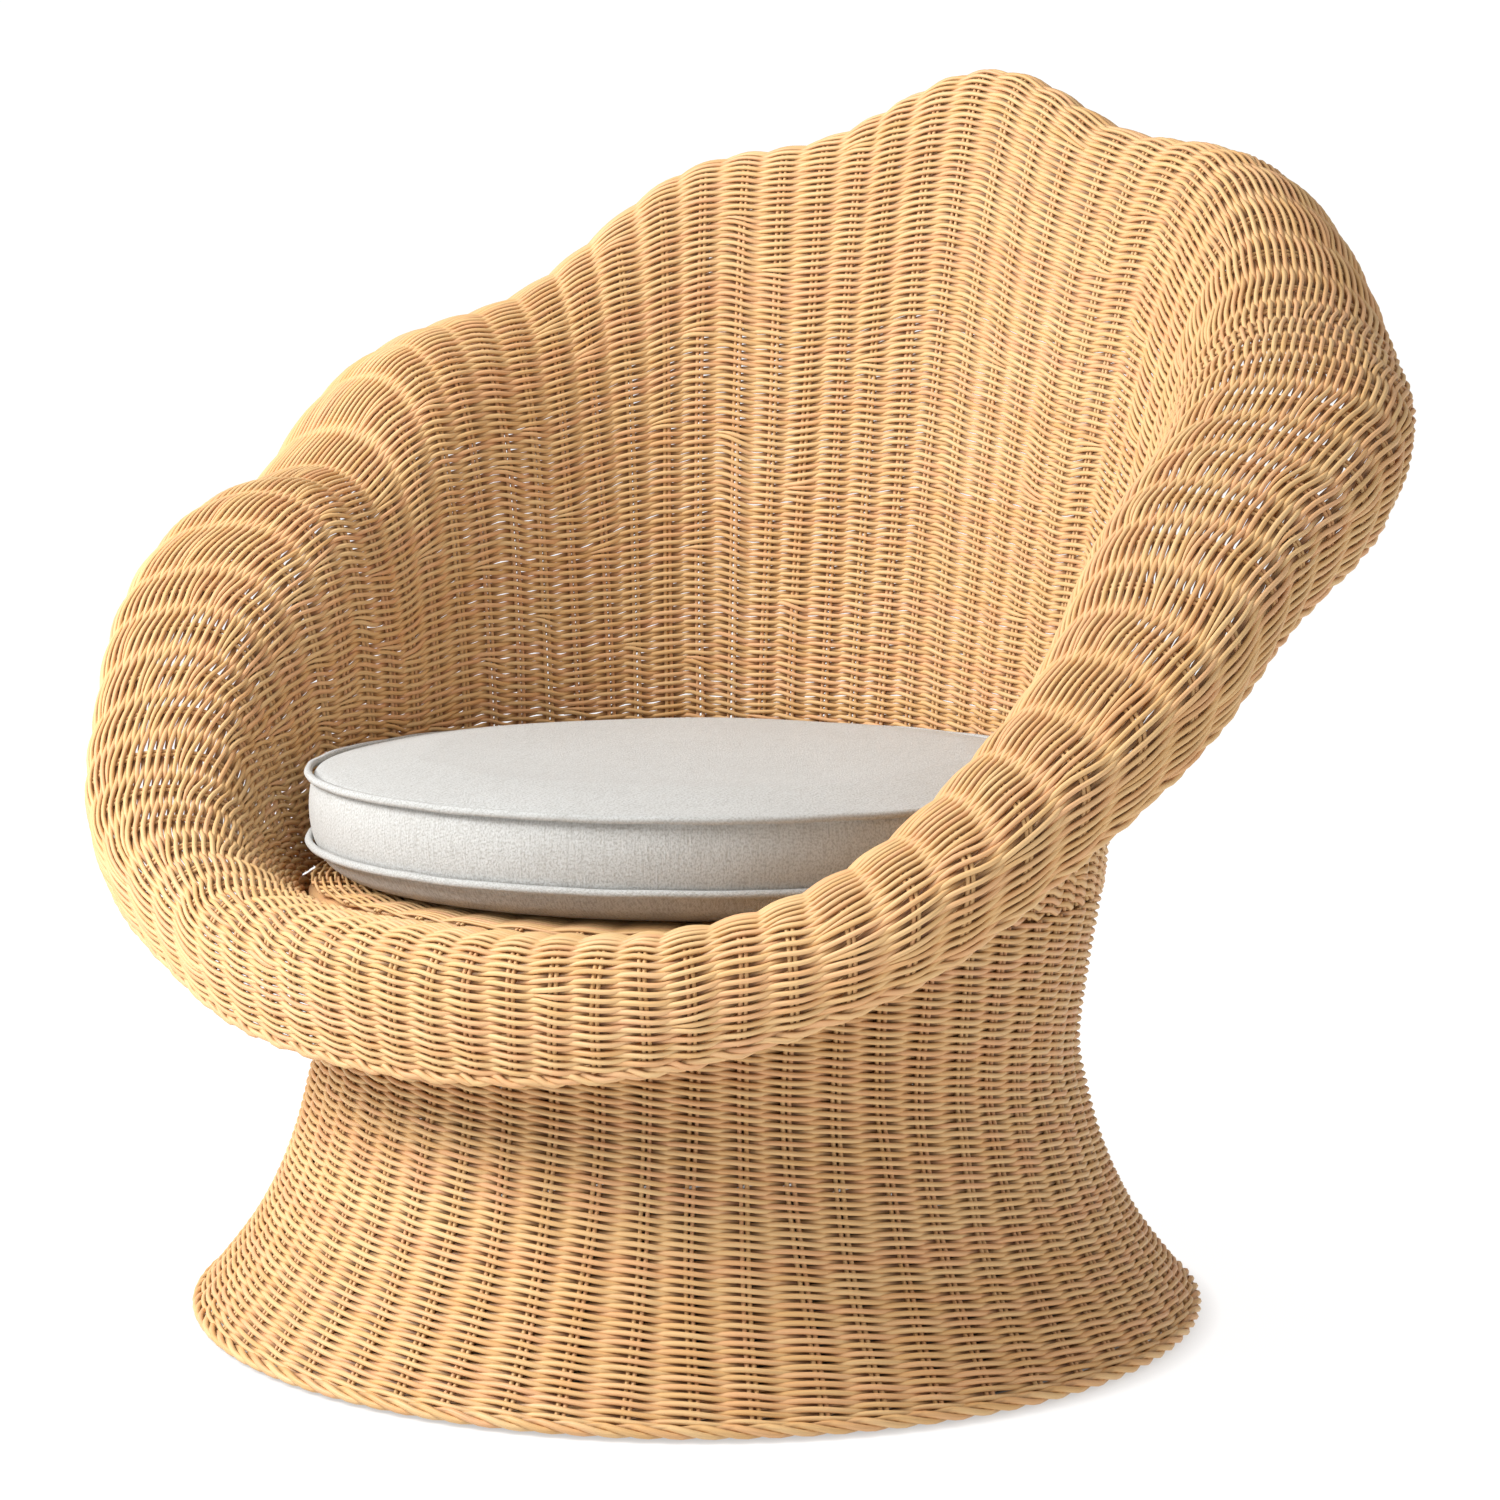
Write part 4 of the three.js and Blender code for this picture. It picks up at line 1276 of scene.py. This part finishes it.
def make_slider(steps=24):
    """A small cast slider: a waisted body, a bridge, and a pull that hangs from it."""
    low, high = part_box("zip_slider")
    centre = (low + high) / 2
    angle = math.atan2(centre.x, centre.y - AXIS_Y)
    out = Vector((math.sin(angle), math.cos(angle), 0))
    along = Vector((math.cos(angle), -math.sin(angle), 0))
    up = Vector((0, 0, 1))
    foot = Vector((0, AXIS_Y, centre.z)) + out * math.hypot(centre.x, centre.y - AXIS_Y)

    def line(*points):
        """Points given in millimetres along the tape, up, and out from the slider's middle."""
        return np.array([foot + along * a * MM + up * b * MM + out * c * MM for a, b, c in points])

    def facing(way, count=steps):
        return np.tile(way, (count, 1))

    body = Bundle()
    for side in (-1, 1):
        outline = ((-4.2, 4.6), (-2.5, 4.8), (0, 4.0), (2.5, 3.0), (4.4, 2.4))
        edge = line(*((a, side * b, -0.4) for a, b in outline))
        body.add(smooth_path(edge, steps), facing(out), 1.1 * MM)
    plate = line(*((a, 0, -0.2) for a in (-4.0, -2, 0, 2, 4.2)))
    body.add(smooth_path(plate, steps), facing(up), np.linspace(3.1, 1.9, steps) * 0.45 * MM)
    bridge = line((-3.2, 0, 0.3), (-2.4, 0, 2.0), (0, 0, 2.5), (2.4, 0, 2.0), (3.2, 0, 0.3))
    body.add(smooth_path(bridge, steps), facing(up), 0.6 * MM)
    turns = np.linspace(0, TURN, 13)[:-1]
    pull = line(*((1.4 * math.sin(t), -4.5 - 4.5 * math.cos(t), 1.9) for t in turns))
    body.add(pull, facing(out, len(turns)), 0.5 * MM, True)
    stand_for(body, "zip_slider_cast", "zip_slider", "zip_metal", ZIP_LOOK, "zip_slider")


# ---------------------------------------------------------------- kept CAD nodes


def dress_nodes():
    """The CAD nodes that show as they are get their materials."""
    looks = {
        "waist_nail": NAIL_LOOK,
        "glide_nail": NAIL_LOOK,
        "glide_": NYLON_LOOK,
        "cushion_foam": FOAM_LOOK,
    }
    for name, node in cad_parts.items():
        look = next((look for start, look in looks.items() if name.startswith(start)), None)
        if look is not None:
            node.data.materials.clear()
            node.data.materials.append(look)


# ---------------------------------------------------------------- studio

CAMERA_TURN = math.radians(33.78)
CAMERA_DISTANCE = 3.0606
CAMERA_HEIGHT = 0.825
CAMERA_PITCH = math.radians(6.93)
CAMERA_LENS = 91.1
CAMERA_SHIFT = 0.0353


def make_camera():
    data = bpy.data.cameras.new("camera")
    data.lens = CAMERA_LENS
    data.sensor_width = 36
    data.shift_x = CAMERA_SHIFT
    camera = bpy.data.objects.new("camera", data)
    bpy.context.scene.collection.objects.link(camera)
    camera.location = (
        CAMERA_DISTANCE * math.sin(CAMERA_TURN),
        AXIS_Y - CAMERA_DISTANCE * math.cos(CAMERA_TURN),
        CAMERA_HEIGHT,
    )
    camera.rotation_euler = (math.pi / 2 - CAMERA_PITCH, 0, CAMERA_TURN)
    bpy.context.scene.camera = camera


def area_light(name, at, target, size, power):
    data = bpy.data.lights.new(name, "AREA")
    data.shape = "SQUARE"
    data.size = size
    data.energy = power
    light = bpy.data.objects.new(name, data)
    light.location = at
    way = Vector(target) - Vector(at)
    light.rotation_euler = way.to_track_quat("-Z", "Y").to_euler()
    bpy.context.scene.collection.objects.link(light)


SKY_LIGHT = 0.5  # what the chair gets from all round
BACKDROP = 1.05  # what the camera sees there
FLOOR_REACH = 40


def make_sky():
    world = bpy.data.worlds.new("studio")
    world.use_nodes = True
    tree = world.node_tree
    sky = tree.nodes["Background"]
    sky.inputs["Color"].default_value = (1, 1, 1, 1)
    level = tree.nodes.new("ShaderNodeMix")
    level.inputs["A"].default_value = SKY_LIGHT
    level.inputs["B"].default_value = BACKDROP
    rays = tree.nodes.new("ShaderNodeLightPath")
    tree.links.new(rays.outputs["Is Camera Ray"], level.inputs["Factor"])
    tree.links.new(level.outputs["Result"], sky.inputs["Strength"])
    bpy.context.scene.world = world


def make_studio():
    bpy.context.scene.view_settings.view_transform = "Standard"
    make_sky()
    corners = ((-1, -1, 0), (1, -1, 0), (1, 1, 0), (-1, 1, 0))
    spots = FLOOR_REACH * np.array(corners, float)
    floor = show("floor", mesh_from("floor", spots, np.array([[0, 1, 2, 3]])), floor_look())
    target = (0, AXIS_Y, 0.4)
    area_light("key", (-1.9, -2.3, 2.55), target, 1.8, 190)
    area_light("fill", (2.4, -1.8, 2.4), target, 2.2, 7)


make_camera()
make_studio()
weave_shell()
weave_base()
weave_collar()
weave_deck()
make_hoops()
make_stays()
make_rings()
make_posts()
make_rails()
make_cover()
make_piping("cushion_piping_top", SEAM_RADIUS_TOP, HIGH_SEAM)
make_piping("cushion_piping_bottom", SEAM_RADIUS_LOW, LOW_SEAM)
make_zip()
make_slider()
dress_nodes()
